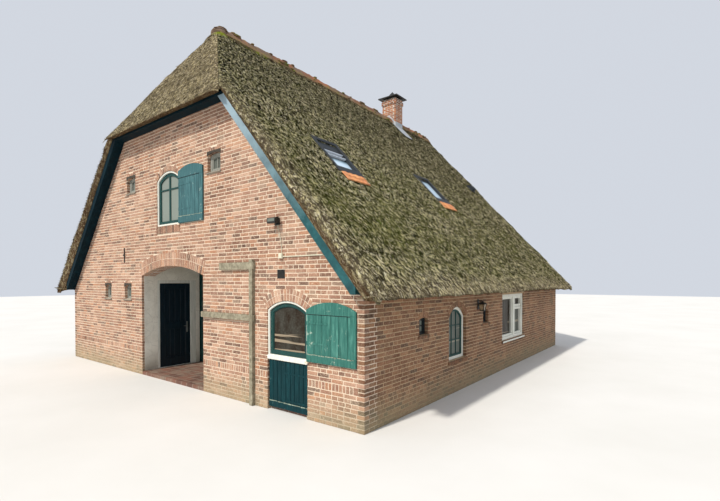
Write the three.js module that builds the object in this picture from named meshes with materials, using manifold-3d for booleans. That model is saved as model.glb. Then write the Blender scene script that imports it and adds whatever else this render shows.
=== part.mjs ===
// A thatched brick farm cottage with a half-hipped front gable, in millimetres, +Z up.
// The origin is on the ground under the middle of the plan; the front gable faces -Y.
import * as THREE from 'three';
import { mergeVertices } from 'three/addons/utils/BufferGeometryUtils.js';
import Module from 'manifold-3d';

const wasm = await Module();
wasm.setup();

// Driving dimensions of the masonry
const HALF_WIDTH = 4950;
const HALF_LENGTH = 5100;
const WALL = 300;
const FLOOR_TOP = 70;

// Driving dimensions of the roof
const WALL_PLATE_HEIGHT = 1790;
const SOFFIT_SLOPE = 1.147;
const HIP_SOFFIT_HEIGHT = 5120;
const EAVE_REACH = 430;
const EAVE_HEIGHT = 1860;
const RIDGE_HEIGHT = 7700;
const VERGE_REACH = 400;
const HIP_REACH = 460;
const REAR_REACH = 460;
const HIP_EAVE_HEIGHT = 5130;
const HIP_APEX_SETBACK = 1130;
const HIP_SEAT = 100;
const BOARD_REACH = 200;
const BOARD_RISE = 205;
const HIP_BOARD_RISE = 170;

// Driving dimensions of the openings: half is half the width, x is measured along the wall
const RECESS = { x: 0, half: 1180, bottom: 0, spring: 2170, rise: 200, depth: 1400 };
const STABLE = { x: 3440, half: 450, bottom: 0, spring: 1610, rise: 150, frame: 90 };
const UPPER = { x: -60, half: 440, bottom: 3195, spring: 4130, rise: 170, frame: 100 };
const LOW_WINDOWS = [-2855, -1835];
const LOW_WINDOW = { half: 165, bottom: 1650, spring: 1930, rise: 40, frame: 35 };
const LOFT_WINDOWS = [-1640, 1545];
const LOFT_WINDOW = { half: 200, bottom: 4050, spring: 4350, rise: 40, frame: 40 };
const SIDE_WINDOWS = [-3490, -815];
const SIDE_WINDOW = { half: 150, bottom: 1180, spring: 1440, rise: 30, frame: 30 };
const SIDE_ARCH = { x: -2195, half: 375, bottom: 600, spring: 1390, rise: 200, frame: 55 };
const WIDE_WINDOW = { x: 970, half: 780, bottom: 670, spring: 1745, rise: 0, frame: 90 };
const REAR_WINDOWS = [-2400, 2400];
const REAR_WINDOW = { half: 500, bottom: 900, spring: 1900, rise: 120, frame: 70 };

// Driving dimensions of window frames and panes
const FRAME = { setback: 60, depth: 70 };
const FRONT_FRAME = { setback: 30, depth: 70 };
const PANEL_THICKNESS = 10;
const PANE_THICKNESS = 8;
const MULLION = { offset: 60, width: 110, inset: 5 };

// Driving dimensions of the moving leaves and what carries them
const LEAF_GAP = 12;
const STABLE_LEAF = { bottom: 45, top: 805, thickness: 45, setback: 15 };
const TRANSOM = { bottom: 815, top: 890, depth: 100, setback: 5 };
const GROUND_SHUTTER = { width: 940, bottom: 868, spring: 1640, rise: 120, thickness: 30 };
const UPPER_SHUTTER = { width: 845, bottom: 3196, spring: 4160, rise: 140, thickness: 30 };
const SHUTTER_STANDOFF = 8;
const HINGE_INSET = 10;
const KNUCKLE = 12;
const BRACKET = { width: 30, height: 25, inset: 5, root: 10 };
const FLOOR_PIVOT = { reach: 32, root: 10, width: 30 };
const ENTRANCE = { near: 410, width: 740, bottom: 90, top: 2000, thickness: 45, setback: 10 };
const DOORWAY = { near: 6, far: 8, head: 8, sill: 12, wall: 100 };
const HANDLE = { inset: 75, bottom: 840, top: 1090, half: 22, thickness: 4 };
const LEVER = { z: 994, half: 10, length: 110, near: 30, far: 44 };
const SPINDLE = { half: 9, reach: 42, root: 3 };
const BARN_DOOR_THICKNESS = 60;
const CEILING_THICKNESS = 30;

// Driving dimensions of the loft floor, the ridge and the chimney
const LOFT_BOTTOM = 2450;
const LOFT_THICKNESS = 150;
const RIDGE_TILE = { half: 200, thickness: 45, lip: 30, shoulder: 140, brow: 70, apexOverlap: 60 };
const STACK = { half: 270, front: 2900, back: 3330, top: 8380 };
const STACK_BAND = { lip: 25, bottom: 190, top: 65 };
const CHIMNEY_CAP = { overhang: 115, lift: 30, plate: 30, rise: 260, footInset: 40 };
const FLASHING = { reach: 420, thickness: 12, upstand: 150, fold: 8 };

// Driving dimensions of the roof lights and the roof vent, measured down the slope from the ridge
const ROOF_LIGHTS = [-3340, 500];
const ROOF_LIGHT = { width: 700, length: 1040, top: 3900, raise: -45, depth: 180, shaft: 1000 };
const ROOF_LIGHT_RIM = { side: 65, end: 70, recess: 100 };
const APRON = { inset: 20, length: 250, gap: 4, thickness: 40 };
const ROOF_VENT = { y: 4700, width: 260, length: 300, top: 3150, height: 120 };

// Courses of the thatch, down each slope from the ridge: each steps in at its top by the sink and
// rises to the roof plane again at its foot, and the plane is left whole under the fittings
const COURSES = [[1150, 2340], [2350, 3120], [3480, 4935], [5210, 6740], [6750, 7650]];
const COURSE_SINK = 25;
const COURSE_STEP = 30;

// Driving dimensions of the fittings on the walls
const LANTERN = { x: -1240, bottom: 1450, top: 1652, half: 70, near: 90, far: 230 };
const LANTERN_PLATE = { half: 40, thickness: 12, bottom: 1480, top: 1690 };
const LANTERN_ARM = { half: 10, root: 10, reach: 150, bottom: 1650, top: 1670 };
const FLOOD_LIGHT = { x: 3250, half: 95, near: 28, far: 150, bottom: 2960, top: 3060 };
const FLOOD_PLATE = { half: 50, thickness: 30, bottom: 2940, top: 3030 };
const RAIL_DEPTH = 50;
const RAIL_POST = { left: 2600, right: 2680, depth: 62, top: 2420 };
const UPPER_RAIL = { left: 1750, bottom: 2260, top: 2380 };
const LOWER_RAIL = { left: 1180, bottom: 1400, top: 1500 };
const RAIL_TAIL = 20;

// Gaps, overlaps of joined solids, and the steps of an arch
const SEAT_GAP = 0.3;
const FIT = 3;
const LAP = 1;
const ARCH_STEPS = 12;

const TOP_SLOPE = (RIDGE_HEIGHT - EAVE_HEIGHT) / (HALF_WIDTH + EAVE_REACH);
const HIP_SLOPE = (RIDGE_HEIGHT - HIP_EAVE_HEIGHT) / (HIP_REACH + HIP_APEX_SETBACK);
const FRONT = -HALF_LENGTH;
const WALL_TOP = WALL_PLATE_HEIGHT - SEAT_GAP;

const brick = { color: 0xb98a72, roughness: 0.92, metalness: 0 };
const chimneyBrick = { color: 0xa8653c, roughness: 0.92, metalness: 0 };
const thatch = { color: 0x77705a, roughness: 1, metalness: 0 };
const greenPaint = { color: 0x2c6b60, roughness: 0.55, metalness: 0 };
const whitePaint = { color: 0xdcdccf, roughness: 0.5, metalness: 0 };
const darkPaint = { color: 0x14262b, roughness: 0.35, metalness: 0 };
const plaster = { color: 0xa7a49c, roughness: 0.9, metalness: 0 };
const floorTiles = { color: 0x6b4d3e, roughness: 0.8, metalness: 0 };
const glassPane = { color: 0x394a4c, roughness: 0.08, metalness: 0 };
const terracotta = { color: 0xb3643a, roughness: 0.85, metalness: 0 };
const lead = { color: 0xa9adb0, roughness: 0.5, metalness: 0.3 };
const darkMetal = { color: 0x23282a, roughness: 0.5, metalness: 0.4 };
const oldWood = { color: 0x8d8571, roughness: 0.95, metalness: 0 };

// The house, and a group for each wall: its x runs to the right seen from outside, and its
// outer face is y = 0, so that y grows into the wall
const house = new THREE.Group();
const frontSide = addGroup([0, FRONT, 0], 0);
const rightSide = addGroup([HALF_WIDTH, 0, 0], Math.PI / 2);
const rearSide = addGroup([0, HALF_LENGTH, 0], Math.PI);
const leftSide = addGroup([-HALF_WIDTH, 0, 0], -Math.PI / 2);
const recessSide = addGroup([-RECESS.half, FRONT, 0], Math.PI / 2);
const ridge = addGroup([0, 0, RIDGE_HEIGHT], 0);
const chimney = addGroup([0, (STACK.front + STACK.back) / 2, 0], 0);

// The right slope of the roof: x runs down from the ridge and z out of the thatch
const slope = addGroup([0, 0, RIDGE_HEIGHT], 0);
slope.rotation.y = Math.atan(TOP_SLOPE);
slope.updateMatrix();

function addGroup(position, turn) {
  const group = new THREE.Group();
  group.position.set(...position);
  group.rotation.z = turn;
  house.add(group);
  return group;
}

// Closed geometry to solid and back
function toSolid(geometry) {
  const bare = geometry.clone();
  bare.deleteAttribute('normal');
  bare.deleteAttribute('uv');
  const merged = mergeVertices(bare, 1e-4);
  return new wasm.Manifold(new wasm.Mesh({
    numProp: 3,
    vertProperties: new Float32Array(merged.attributes.position.array),
    triVerts: new Uint32Array(merged.index.array),
  }));
}

function toGeometry(solid) {
  const mesh = solid.getMesh();
  const geometry = new THREE.BufferGeometry();
  geometry.setAttribute('position', new THREE.BufferAttribute(mesh.vertProperties, 3));
  geometry.setIndex(new THREE.BufferAttribute(mesh.triVerts, 1));
  return geometry;
}

function addPiece(group, name, solid, look, position = [0, 0, 0]) {
  const mesh = new THREE.Mesh(toGeometry(solid), new THREE.MeshStandardMaterial(look));
  mesh.name = name;
  mesh.position.set(...position);
  group.add(mesh);
}

// Simple solids
function blockGeometry(x0, x1, y0, y1, z0, z1) {
  const box = new THREE.BoxGeometry(x1 - x0, y1 - y0, z1 - z0);
  return box.translate((x0 + x1) / 2, (y0 + y1) / 2, (z0 + z1) / 2);
}

function block(...limits) {
  return toSolid(blockGeometry(...limits));
}

function outline(points) {
  return new THREE.Shape(points.map(([u, v]) => new THREE.Vector2(u, v)));
}

// An outline in the XZ plane, given depth along Y from y0 to y1
function alongY(points, y0, y1) {
  const geometry = new THREE.ExtrudeGeometry(outline(points), { depth: y1 - y0, bevelEnabled: false });
  const turn = new THREE.Matrix4().set(1, 0, 0, 0, 0, 0, -1, y1, 0, 1, 0, 0, 0, 0, 0, 1);
  return toSolid(geometry.applyMatrix4(turn));
}

// An outline in the YZ plane, given depth along X from x0 to x1
function alongX(points, x0, x1) {
  const geometry = new THREE.ExtrudeGeometry(outline(points), { depth: x1 - x0, bevelEnabled: false });
  const turn = new THREE.Matrix4().set(0, 0, 1, x0, 1, 0, 0, 0, 0, 1, 0, 0, 0, 0, 0, 1);
  return toSolid(geometry.applyMatrix4(turn));
}

// An outline in plan, given height along Z from z0 to z1
function alongZ(points, z0, z1) {
  const geometry = new THREE.ExtrudeGeometry(outline(points), { depth: z1 - z0, bevelEnabled: false });
  return toSolid(geometry.translate(0, 0, z0));
}

// Outline of an opening with a flat foot and a segmental head, made smaller by inset at sides and head
function archedPoints({ x, half, bottom, spring, rise }, inset = 0) {
  const reach = half - inset;
  const foot = [[x - reach, bottom], [x + reach, bottom]];
  if (rise === 0) {
    return [...foot, [x + reach, spring - inset], [x - reach, spring - inset]];
  }
  const radius = (half * half + rise * rise) / (2 * rise);
  const centre = spring + rise - radius;
  const sweep = Math.asin(reach / (radius - inset));
  const head = Array.from({ length: ARCH_STEPS + 1 }, (_, step) => {
    const angle = sweep * (1 - (2 * step) / ARCH_STEPS);
    return [x + (radius - inset) * Math.sin(angle), centre + (radius - inset) * Math.cos(angle)];
  });
  return [...foot, ...head];
}

// The head of an opening from its left springing to its right one
function archHead(opening) {
  return archedPoints(opening).slice(2).reverse();
}

// A wall solid with openings cut right through its thickness
function pierced(wall, openings) {
  return openings.reduce(
    (solid, opening) => solid.subtract(alongY(archedPoints(opening), -LAP, WALL + LAP)),
    wall,
  );
}

function repeated(places, opening) {
  return places.map((x) => ({ ...opening, x }));
}

// Heights of the underside and the top of the thatch, at a distance x from the ridge line
function soffitHeight(x) {
  return WALL_PLATE_HEIGHT + SOFFIT_SLOPE * (HALF_WIDTH - Math.abs(x));
}

function soffitReach(z) {
  return HALF_WIDTH - (z - WALL_PLATE_HEIGHT) / SOFFIT_SLOPE;
}

function topHeight(x) {
  return RIDGE_HEIGHT - TOP_SLOPE * Math.abs(x);
}

// Point of the section of a slope, at a distance down it from the ridge and a depth into the thatch
function slopePoint(side, distance, depth) {
  const pitch = Math.atan(TOP_SLOPE);
  const x = distance * Math.cos(pitch) - depth * Math.sin(pitch);
  return [side * x, RIDGE_HEIGHT - distance * Math.sin(pitch) - depth * Math.cos(pitch)];
}

function coursePoints(side) {
  return COURSES.flatMap(([top, foot]) => [slopePoint(side, top, 0),
    slopePoint(side, top + COURSE_STEP, COURSE_SINK), slopePoint(side, foot, 0)]);
}

// Front gable wall, split beside and over the recess and the stable door
function addFrontWall() {
  const shoulder = soffitReach(RECESS.spring) - SEAT_GAP;
  const stableLeft = STABLE.x - STABLE.half;
  const stableRight = STABLE.x + STABLE.half;
  const left = alongY([[-HALF_WIDTH, 0], [-RECESS.half, 0], [-RECESS.half, RECESS.spring],
    [-shoulder, RECESS.spring], [-HALF_WIDTH, WALL_TOP]], 0, WALL);
  addPiece(frontSide, 'front_wall_left', pierced(left, repeated(LOW_WINDOWS, LOW_WINDOW)), brick);

  const middle = block(RECESS.half, stableLeft, 0, WALL, 0, RECESS.spring);
  addPiece(frontSide, 'front_wall_middle', middle, brick);

  const right = alongY([[stableRight, 0], [HALF_WIDTH, 0], [HALF_WIDTH, WALL_TOP],
    [shoulder, RECESS.spring], [stableRight, RECESS.spring]], 0, WALL)
    .add(floorPivot(stableRight))
    .add(hingeBracket(STABLE, GROUND_SHUTTER));
  addPiece(frontSide, 'front_wall_right', right, brick);

  const hipReach = soffitReach(HIP_SOFFIT_HEIGHT) - SEAT_GAP;
  const gable = alongY([[-shoulder, RECESS.spring], ...archHead(RECESS), [stableLeft, RECESS.spring],
    ...archHead(STABLE), [stableRight, RECESS.spring], [shoulder, RECESS.spring],
    [hipReach, HIP_SOFFIT_HEIGHT], [-hipReach, HIP_SOFFIT_HEIGHT]], 0, WALL);
  const gableWall = pierced(gable, [...repeated(LOFT_WINDOWS, LOFT_WINDOW), UPPER]);
  addPiece(frontSide, 'front_wall_gable', gableWall.add(hingeBracket(UPPER, UPPER_SHUTTER)), brick);
}

// Block at the foot of the stable doorway on which the lower leaf turns
function floorPivot(jamb) {
  return block(jamb - FLOOR_PIVOT.reach, jamb + FLOOR_PIVOT.root, STABLE_LEAF.setback,
    STABLE_LEAF.setback + FLOOR_PIVOT.width, 0, STABLE_LEAF.bottom - SEAT_GAP);
}

// Hinge line of a shutter that lies open beside its window
function shutterHinge(opening) {
  return opening.x + opening.half - HINGE_INSET;
}

// Bracket built into the wall, on which the hinge edge of a shutter stands
function hingeBracket(opening, shutter) {
  const near = opening.x + opening.half + BRACKET.inset;
  const far = near + BRACKET.width;
  const top = shutter.bottom - SEAT_GAP;
  const foot = top - BRACKET.height;
  const outer = -SHUTTER_STANDOFF - shutter.thickness;
  return block(shutterHinge(opening) - KNUCKLE, far, outer, 0, foot, top)
    .add(block(near, far, -BRACKET.inset, BRACKET.root, foot, top));
}

function addRearWall() {
  const gable = alongY([[-HALF_WIDTH, 0], [HALF_WIDTH, 0], [HALF_WIDTH, WALL_TOP],
    [0, soffitHeight(0) - SEAT_GAP], [-HALF_WIDTH, WALL_TOP]], 0, WALL);
  const openings = [...repeated(REAR_WINDOWS, REAR_WINDOW), { ...UPPER, x: 0 }];
  addPiece(rearSide, 'rear_wall', pierced(gable, openings), brick);
}

// Side walls with bevelled tops under the slope of the roof
function addSideWalls() {
  const half = HALF_LENGTH - WALL;
  const section = [[0, 0], [WALL, 0], [WALL, soffitHeight(HALF_WIDTH - WALL) - SEAT_GAP], [0, WALL_TOP]];
  const wall = alongX(section, -half, half);
  const rightOpenings = [...repeated(SIDE_WINDOWS, SIDE_WINDOW), SIDE_ARCH, WIDE_WINDOW];
  addPiece(rightSide, 'side_wall_right', pierced(wall, rightOpenings), brick);
  addPiece(leftSide, 'side_wall_left', pierced(wall, [{ ...WIDE_WINDOW, x: -WIDE_WINDOW.x }]), brick);
}

// Hole in the loft floor and the thatch through which the chimney passes
function stackHole(z0, z1) {
  return block(-STACK.half - SEAT_GAP, STACK.half + SEAT_GAP, STACK.front - SEAT_GAP,
    STACK.back + SEAT_GAP, z0, z1);
}

// Ground slab inside the walls, with tongues into the recess and the stable doorway
function addFloors() {
  const innerX = HALF_WIDTH - WALL;
  const innerY = HALF_LENGTH - WALL;
  const tongueFront = FRONT + STABLE_LEAF.setback + STABLE_LEAF.thickness + LEAF_GAP;
  const slab = block(-innerX, innerX, -innerY, innerY, 0, FLOOR_TOP)
    .add(block(-RECESS.half, RECESS.half, FRONT, LAP - innerY, 0, FLOOR_TOP))
    .add(block(STABLE.x - STABLE.half, STABLE.x + STABLE.half, tongueFront, LAP - innerY, 0, FLOOR_TOP));
  addPiece(house, 'ground_floor', slab, floorTiles);

  const top = LOFT_BOTTOM + LOFT_THICKNESS;
  const lowReach = soffitReach(LOFT_BOTTOM) - SEAT_GAP;
  const topReach = soffitReach(top) - SEAT_GAP;
  const deck = alongY([[-lowReach, LOFT_BOTTOM], [lowReach, LOFT_BOTTOM], [topReach, top],
    [-topReach, top]], -innerY, innerY);
  addPiece(house, 'loft_floor', deck.subtract(stackHole(LOFT_BOTTOM - LAP, top + LAP)), oldWood);
}

// Part of the roof in front of the hip lines, in plan, grown by a gap
function hipWedge(gap) {
  const tip = (RIDGE_HEIGHT - HIP_EAVE_HEIGHT) / TOP_SLOPE;
  const apex = FRONT + HIP_APEX_SETBACK + gap;
  const front = FRONT - HIP_REACH - (gap > 0 ? LAP : 0);
  const half = (tip * (apex - front)) / (HIP_APEX_SETBACK + HIP_REACH);
  return alongZ([[-half, front], [half, front], [0, apex]], 0, 2 * RIDGE_HEIGHT);
}

// One slope of the thatch: side is 1 for the right and -1 for the left
function thatchSlope(side) {
  const rear = HALF_LENGTH + REAR_REACH;
  const verge = FRONT - VERGE_REACH;
  const inner = HALF_WIDTH + SEAT_GAP;
  const section = [[0, soffitHeight(0)], [side * HALF_WIDTH, WALL_PLATE_HEIGHT],
    [side * (HALF_WIDTH + EAVE_REACH), EAVE_HEIGHT], ...coursePoints(side).reverse(),
    [0, RIDGE_HEIGHT]];
  const boardSpace = [[-side, 0], [side * inner, 0], [side * inner, WALL_PLATE_HEIGHT + BOARD_RISE],
    [-side, soffitHeight(0) + BOARD_RISE + SOFFIT_SLOPE]];
  return alongY(section, verge, rear)
    .subtract(hipWedge(SEAT_GAP))
    .subtract(alongY(boardSpace, verge - LAP, FRONT))
    .subtract(alongY(boardSpace, HALF_LENGTH, rear + LAP))
    .subtract(stackHole(0, STACK.top));
}

// Shaft through the right slope for a roof light at a place along the ridge
function roofLightShaft(y) {
  const half = ROOF_LIGHT.width / 2 + SEAT_GAP;
  const shaft = blockGeometry(ROOF_LIGHT.top - SEAT_GAP, ROOF_LIGHT.top + ROOF_LIGHT.length + SEAT_GAP,
    y - half, y + half, -ROOF_LIGHT.shaft, ROOF_LIGHT.depth);
  return toSolid(shaft.applyMatrix4(slope.matrix));
}

function addThatch() {
  const right = ROOF_LIGHTS.reduce((solid, y) => solid.subtract(roofLightShaft(y)), thatchSlope(1));
  addPiece(house, 'thatch_right', right, thatch);
  addPiece(house, 'thatch_left', thatchSlope(-1), thatch);

  const eave = FRONT - HIP_REACH;
  const seat = HIP_SOFFIT_HEIGHT + SEAT_GAP;
  const hipRise = (HIP_APEX_SETBACK - HIP_SEAT) * HIP_SLOPE;
  const apex = FRONT + HIP_APEX_SETBACK;
  const section = [[eave, HIP_EAVE_HEIGHT], [FRONT - BOARD_REACH, seat + HIP_BOARD_RISE],
    [FRONT, seat + HIP_BOARD_RISE], [FRONT, seat], [FRONT + HIP_SEAT, seat], [apex, seat + hipRise],
    [apex, RIDGE_HEIGHT]];
  const reach = HALF_WIDTH + EAVE_REACH;
  addPiece(house, 'thatch_hip', alongX(section, -reach, reach).intersect(hipWedge(0)), thatch);
}

// Rounded tiles bedded along the ridge, in front of and behind the chimney
function addRidge() {
  const { half, thickness, lip, shoulder, brow } = RIDGE_TILE;
  const bed = LAP / 2;
  const drop = TOP_SLOPE * half;
  const crown = [[half + lip, thickness / 2 - drop], [shoulder, -2 * thickness], [brow, bed],
    [0, thickness]];
  const left = crown.slice(0, -1).reverse().map(([x, z]) => [-x, z]);
  const tile = [[-half, bed - drop], [0, bed], [half, bed - drop], ...crown, ...left];
  const apex = FRONT + HIP_APEX_SETBACK - RIDGE_TILE.apexOverlap;
  addPiece(ridge, 'ridge_tiles_front', alongY(tile, apex, STACK.front), terracotta);
  addPiece(ridge, 'ridge_tiles_rear', alongY(tile, STACK.back, HALF_LENGTH + REAR_REACH), terracotta);
}

// Painted boards under the verges and under the hip
function addBoards() {
  const rise = BOARD_RISE - SEAT_GAP;
  const hip = HIP_SOFFIT_HEIGHT;
  const upper = soffitReach(hip);
  const upperOuter = soffitReach(hip - BOARD_RISE);
  [1, -1].forEach((side) => {
    const board = [[side * upper, hip], [side * HALF_WIDTH, WALL_PLATE_HEIGHT],
      [side * HALF_WIDTH, WALL_PLATE_HEIGHT + rise], [side * upperOuter, hip - SEAT_GAP]];
    const name = side > 0 ? 'bargeboard_right' : 'bargeboard_left';
    addPiece(frontSide, name, alongY(board, -BOARD_REACH, 0), greenPaint);
  });

  const foot = upperOuter - LAP;
  const top = soffitReach(hip + HIP_BOARD_RISE - BOARD_RISE) - LAP;
  const hipBoard = [[-foot, hip + SEAT_GAP], [foot, hip + SEAT_GAP], [top, hip + HIP_BOARD_RISE],
    [-top, hip + HIP_BOARD_RISE]];
  addPiece(frontSide, 'bargeboard_hip', alongY(hipBoard, -BOARD_REACH, 0), greenPaint);

  const peak = soffitHeight(0);
  const rear = [[-HALF_WIDTH, WALL_PLATE_HEIGHT], [0, peak], [HALF_WIDTH, WALL_PLATE_HEIGHT],
    [HALF_WIDTH, WALL_PLATE_HEIGHT + rise], [0, peak + rise], [-HALF_WIDTH, WALL_PLATE_HEIGHT + rise]];
  addPiece(rearSide, 'bargeboard_rear', alongY(rear, -BOARD_REACH, 0), greenPaint);
}

// Brick stack from the ground floor through the ridge, with a raised band below its top
function addChimney() {
  const x = STACK.half;
  const y = (STACK.back - STACK.front) / 2;
  const { lip } = STACK_BAND;
  const band = block(-x - lip, x + lip, -y - lip, y + lip, STACK.top - STACK_BAND.bottom,
    STACK.top - STACK_BAND.top);
  addPiece(chimney, 'chimney_stack', block(-x, x, -y, y, FLOOR_TOP, STACK.top).add(band), chimneyBrick);
  addPiece(chimney, 'chimney_cap', chimneyCap(x, y), darkMetal, [0, 0, STACK.top]);
  addPiece(chimney, 'chimney_flashing', chimneyFlashing(x, y), lead);
}

// Pyramid cap on a plate that stands on a short neck over the flue
function chimneyCap(x, y) {
  const { overhang, lift, plate, rise, footInset } = CHIMNEY_CAP;
  const pyramid = new THREE.ConeGeometry(Math.SQRT2, 1, 4, 1);
  pyramid.rotateY(Math.PI / 4);
  pyramid.rotateX(Math.PI / 2);
  pyramid.scale((x + overhang) / 2, (y + overhang) / 2, rise);
  pyramid.translate(0, 0, lift + plate - LAP + rise / 2);
  const neck = block(footInset - x, x - footInset, footInset - y, y - footInset, 0, lift + LAP);
  return block(-x - overhang, x + overhang, -y - overhang, y + overhang, lift, lift + plate)
    .add(toSolid(pyramid))
    .add(neck);
}

// Metal sheet down the right slope beside the stack, turned up against the brick
function chimneyFlashing(x, y) {
  const { reach, thickness, upstand, fold } = FLASHING;
  const side = x + LAP / 2;
  const half = y - SEAT_GAP;
  const far = x + reach;
  const low = (at) => topHeight(at) + LAP / 2;
  const sheet = alongY([[side, low(side)], [far, low(far)], [far, low(far) + thickness],
    [side, low(side) + thickness]], -half, half);
  return sheet.add(block(side, side + fold, -half, half, topHeight(x) + LAP, topHeight(x) + upstand));
}

// A ring that lines an opening, from y = 0 to its depth, with its foot at z = 0
function frameRing(opening, depth) {
  const { frame } = opening;
  const local = { ...opening, x: 0, bottom: 0, spring: opening.spring - opening.bottom };
  const inner = archedPoints({ ...local, bottom: frame }, FIT + frame);
  return alongY(archedPoints(local, FIT), 0, depth).subtract(alongY(inner, -LAP, depth + LAP));
}

// A sheet that fills a frame: overlap is how far it reaches into the frame on each side
function frameSheet(opening, overlap, y0, y1) {
  const reach = opening.frame - overlap;
  const local = { ...opening, x: 0, bottom: reach, spring: opening.spring - opening.bottom };
  return alongY(archedPoints(local, FIT + reach), y0, y1);
}

// A closed window: frame and panel in one piece, set back into its wall
function addClosedWindow(group, name, opening, look, mullion = null) {
  const middle = FRAME.depth / 2;
  let unit = frameRing(opening, FRAME.depth)
    .add(frameSheet(opening, opening.frame / 2, middle - PANEL_THICKNESS / 2, middle + PANEL_THICKNESS / 2));
  if (mullion) {
    unit = unit.add(block(mullion, mullion + MULLION.width, MULLION.inset, FRAME.depth - MULLION.inset,
      opening.frame / 2, opening.spring - opening.bottom - opening.frame / 2));
  }
  addPiece(group, name, unit, look, [opening.x, FRAME.setback, opening.bottom]);
}

function addWindows() {
  repeated(LOW_WINDOWS, LOW_WINDOW).forEach((opening, index) => {
    addClosedWindow(frontSide, ['low_window_left', 'low_window_right'][index], opening, whitePaint);
  });
  repeated(LOFT_WINDOWS, LOFT_WINDOW).forEach((opening, index) => {
    addClosedWindow(frontSide, ['loft_window_left', 'loft_window_right'][index], opening, whitePaint);
  });
  repeated(SIDE_WINDOWS, SIDE_WINDOW).forEach((opening, index) => {
    addClosedWindow(rightSide, ['side_window_front', 'side_window_middle'][index], opening, darkPaint);
  });
  addClosedWindow(rightSide, 'side_window_arched', SIDE_ARCH, whitePaint);
  addClosedWindow(rightSide, 'wide_window', WIDE_WINDOW, whitePaint, MULLION.offset);
  addClosedWindow(leftSide, 'left_window', { ...WIDE_WINDOW, x: -WIDE_WINDOW.x }, whitePaint, MULLION.offset);
  repeated(REAR_WINDOWS, REAR_WINDOW).forEach((opening, index) => {
    addClosedWindow(rearSide, ['rear_window_left', 'rear_window_right'][index], opening, whitePaint);
  });
  addClosedWindow(rearSide, 'rear_window_upper', { ...UPPER, x: 0 }, whitePaint);
}

// Glass in a front window frame, clear of it by the seat gap
function frontPane(opening) {
  const middle = FRONT_FRAME.depth / 2;
  return frameSheet(opening, -SEAT_GAP, middle - PANE_THICKNESS / 2, middle + PANE_THICKNESS / 2);
}

// A shutter built around its hinge line at x = 0, lying open to the right
function shutterLeaf(shutter) {
  const half = shutter.width / 2;
  const spring = shutter.spring - shutter.bottom;
  const leaf = { x: KNUCKLE + half, half, bottom: 0, spring, rise: shutter.rise };
  return alongY(archedPoints(leaf), -shutter.thickness / 2, shutter.thickness / 2);
}

function addShutter(name, opening, shutter) {
  const place = [shutterHinge(opening), -SHUTTER_STANDOFF - shutter.thickness / 2, shutter.bottom];
  addPiece(frontSide, name, shutterLeaf(shutter), greenPaint, place);
}

// The divided stable door: fixed arched window above, boarded leaf below, shutter beside
function addStableDoor() {
  const hinge = STABLE.x + STABLE.half - LEAF_GAP;
  const width = 2 * (STABLE.half - LEAF_GAP);
  const leaf = block(-width, 0, 0, STABLE_LEAF.thickness, 0, STABLE_LEAF.top - STABLE_LEAF.bottom);
  addPiece(frontSide, 'stable_door_leaf', leaf, greenPaint, [hinge, STABLE_LEAF.setback, STABLE_LEAF.bottom]);

  const light = { ...STABLE, bottom: TRANSOM.top - LAP };
  const front = TRANSOM.setback - FRONT_FRAME.setback;
  const transom = block(-STABLE.half, STABLE.half, front, front + TRANSOM.depth,
    TRANSOM.bottom - light.bottom, TRANSOM.top - light.bottom);
  const place = [STABLE.x, FRONT_FRAME.setback, light.bottom];
  const frame = frameRing(light, FRONT_FRAME.depth).add(transom);
  addPiece(frontSide, 'stable_window_frame', frame, whitePaint, place);
  addPiece(frontSide, 'stable_window_glass', frontPane(light), glassPane, place);
  addShutter('ground_shutter', STABLE, GROUND_SHUTTER);
}

function addUpperWindow() {
  const place = [UPPER.x, FRONT_FRAME.setback, UPPER.bottom];
  addPiece(frontSide, 'upper_window_frame', frameRing(UPPER, FRONT_FRAME.depth), whitePaint, place);
  addPiece(frontSide, 'upper_window_glass', frontPane(UPPER), glassPane, place);
  addShutter('upper_shutter', UPPER, UPPER_SHUTTER);
}

// Covered recess behind the front arch, with the entrance door in its left side
function addRecess() {
  const { half, depth } = RECESS;
  const ceiling = LOFT_BOTTOM - CEILING_THICKNESS;
  const outer = half + DOORWAY.wall;
  const back = depth + BARN_DOOR_THICKNESS;
  addPiece(frontSide, 'recess_wall_right', block(half, outer, WALL, depth, FLOOR_TOP, ceiling), plaster);
  addPiece(frontSide, 'recess_ceiling', block(-outer, outer, WALL, back, ceiling, LOFT_BOTTOM), oldWood);
  addPiece(frontSide, 'barn_doors', block(-outer, outer, depth, back, FLOOR_TOP, ceiling), darkPaint);

  const far = ENTRANCE.near + ENTRANCE.width;
  const inner = ENTRANCE.setback + ENTRANCE.thickness;
  const doorway = block(ENTRANCE.near - DOORWAY.near, far + DOORWAY.far, -LAP, DOORWAY.wall + LAP,
    FLOOR_TOP + DOORWAY.sill, ENTRANCE.top + DOORWAY.head);
  const pivot = block(ENTRANCE.near - DOORWAY.near - LAP, ENTRANCE.near + HINGE_INSET, inner - BRACKET.width,
    inner + BRACKET.inset, FLOOR_TOP + DOORWAY.sill - LAP, ENTRANCE.bottom - SEAT_GAP);
  const frame = block(WALL, depth, 0, DOORWAY.wall, FLOOR_TOP, ceiling).subtract(doorway).add(pivot);
  addPiece(recessSide, 'entrance_frame', frame, whitePaint);

  const leaf = block(0, ENTRANCE.width, -ENTRANCE.thickness, 0, 0, ENTRANCE.top - ENTRANCE.bottom);
  addPiece(recessSide, 'entrance_door', leaf, darkPaint, [ENTRANCE.near, inner, ENTRANCE.bottom]);
  addPiece(recessSide, 'entrance_handle', leverHandle(), darkMetal,
    [far - HANDLE.inset, ENTRANCE.setback, 0]);
}

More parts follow.
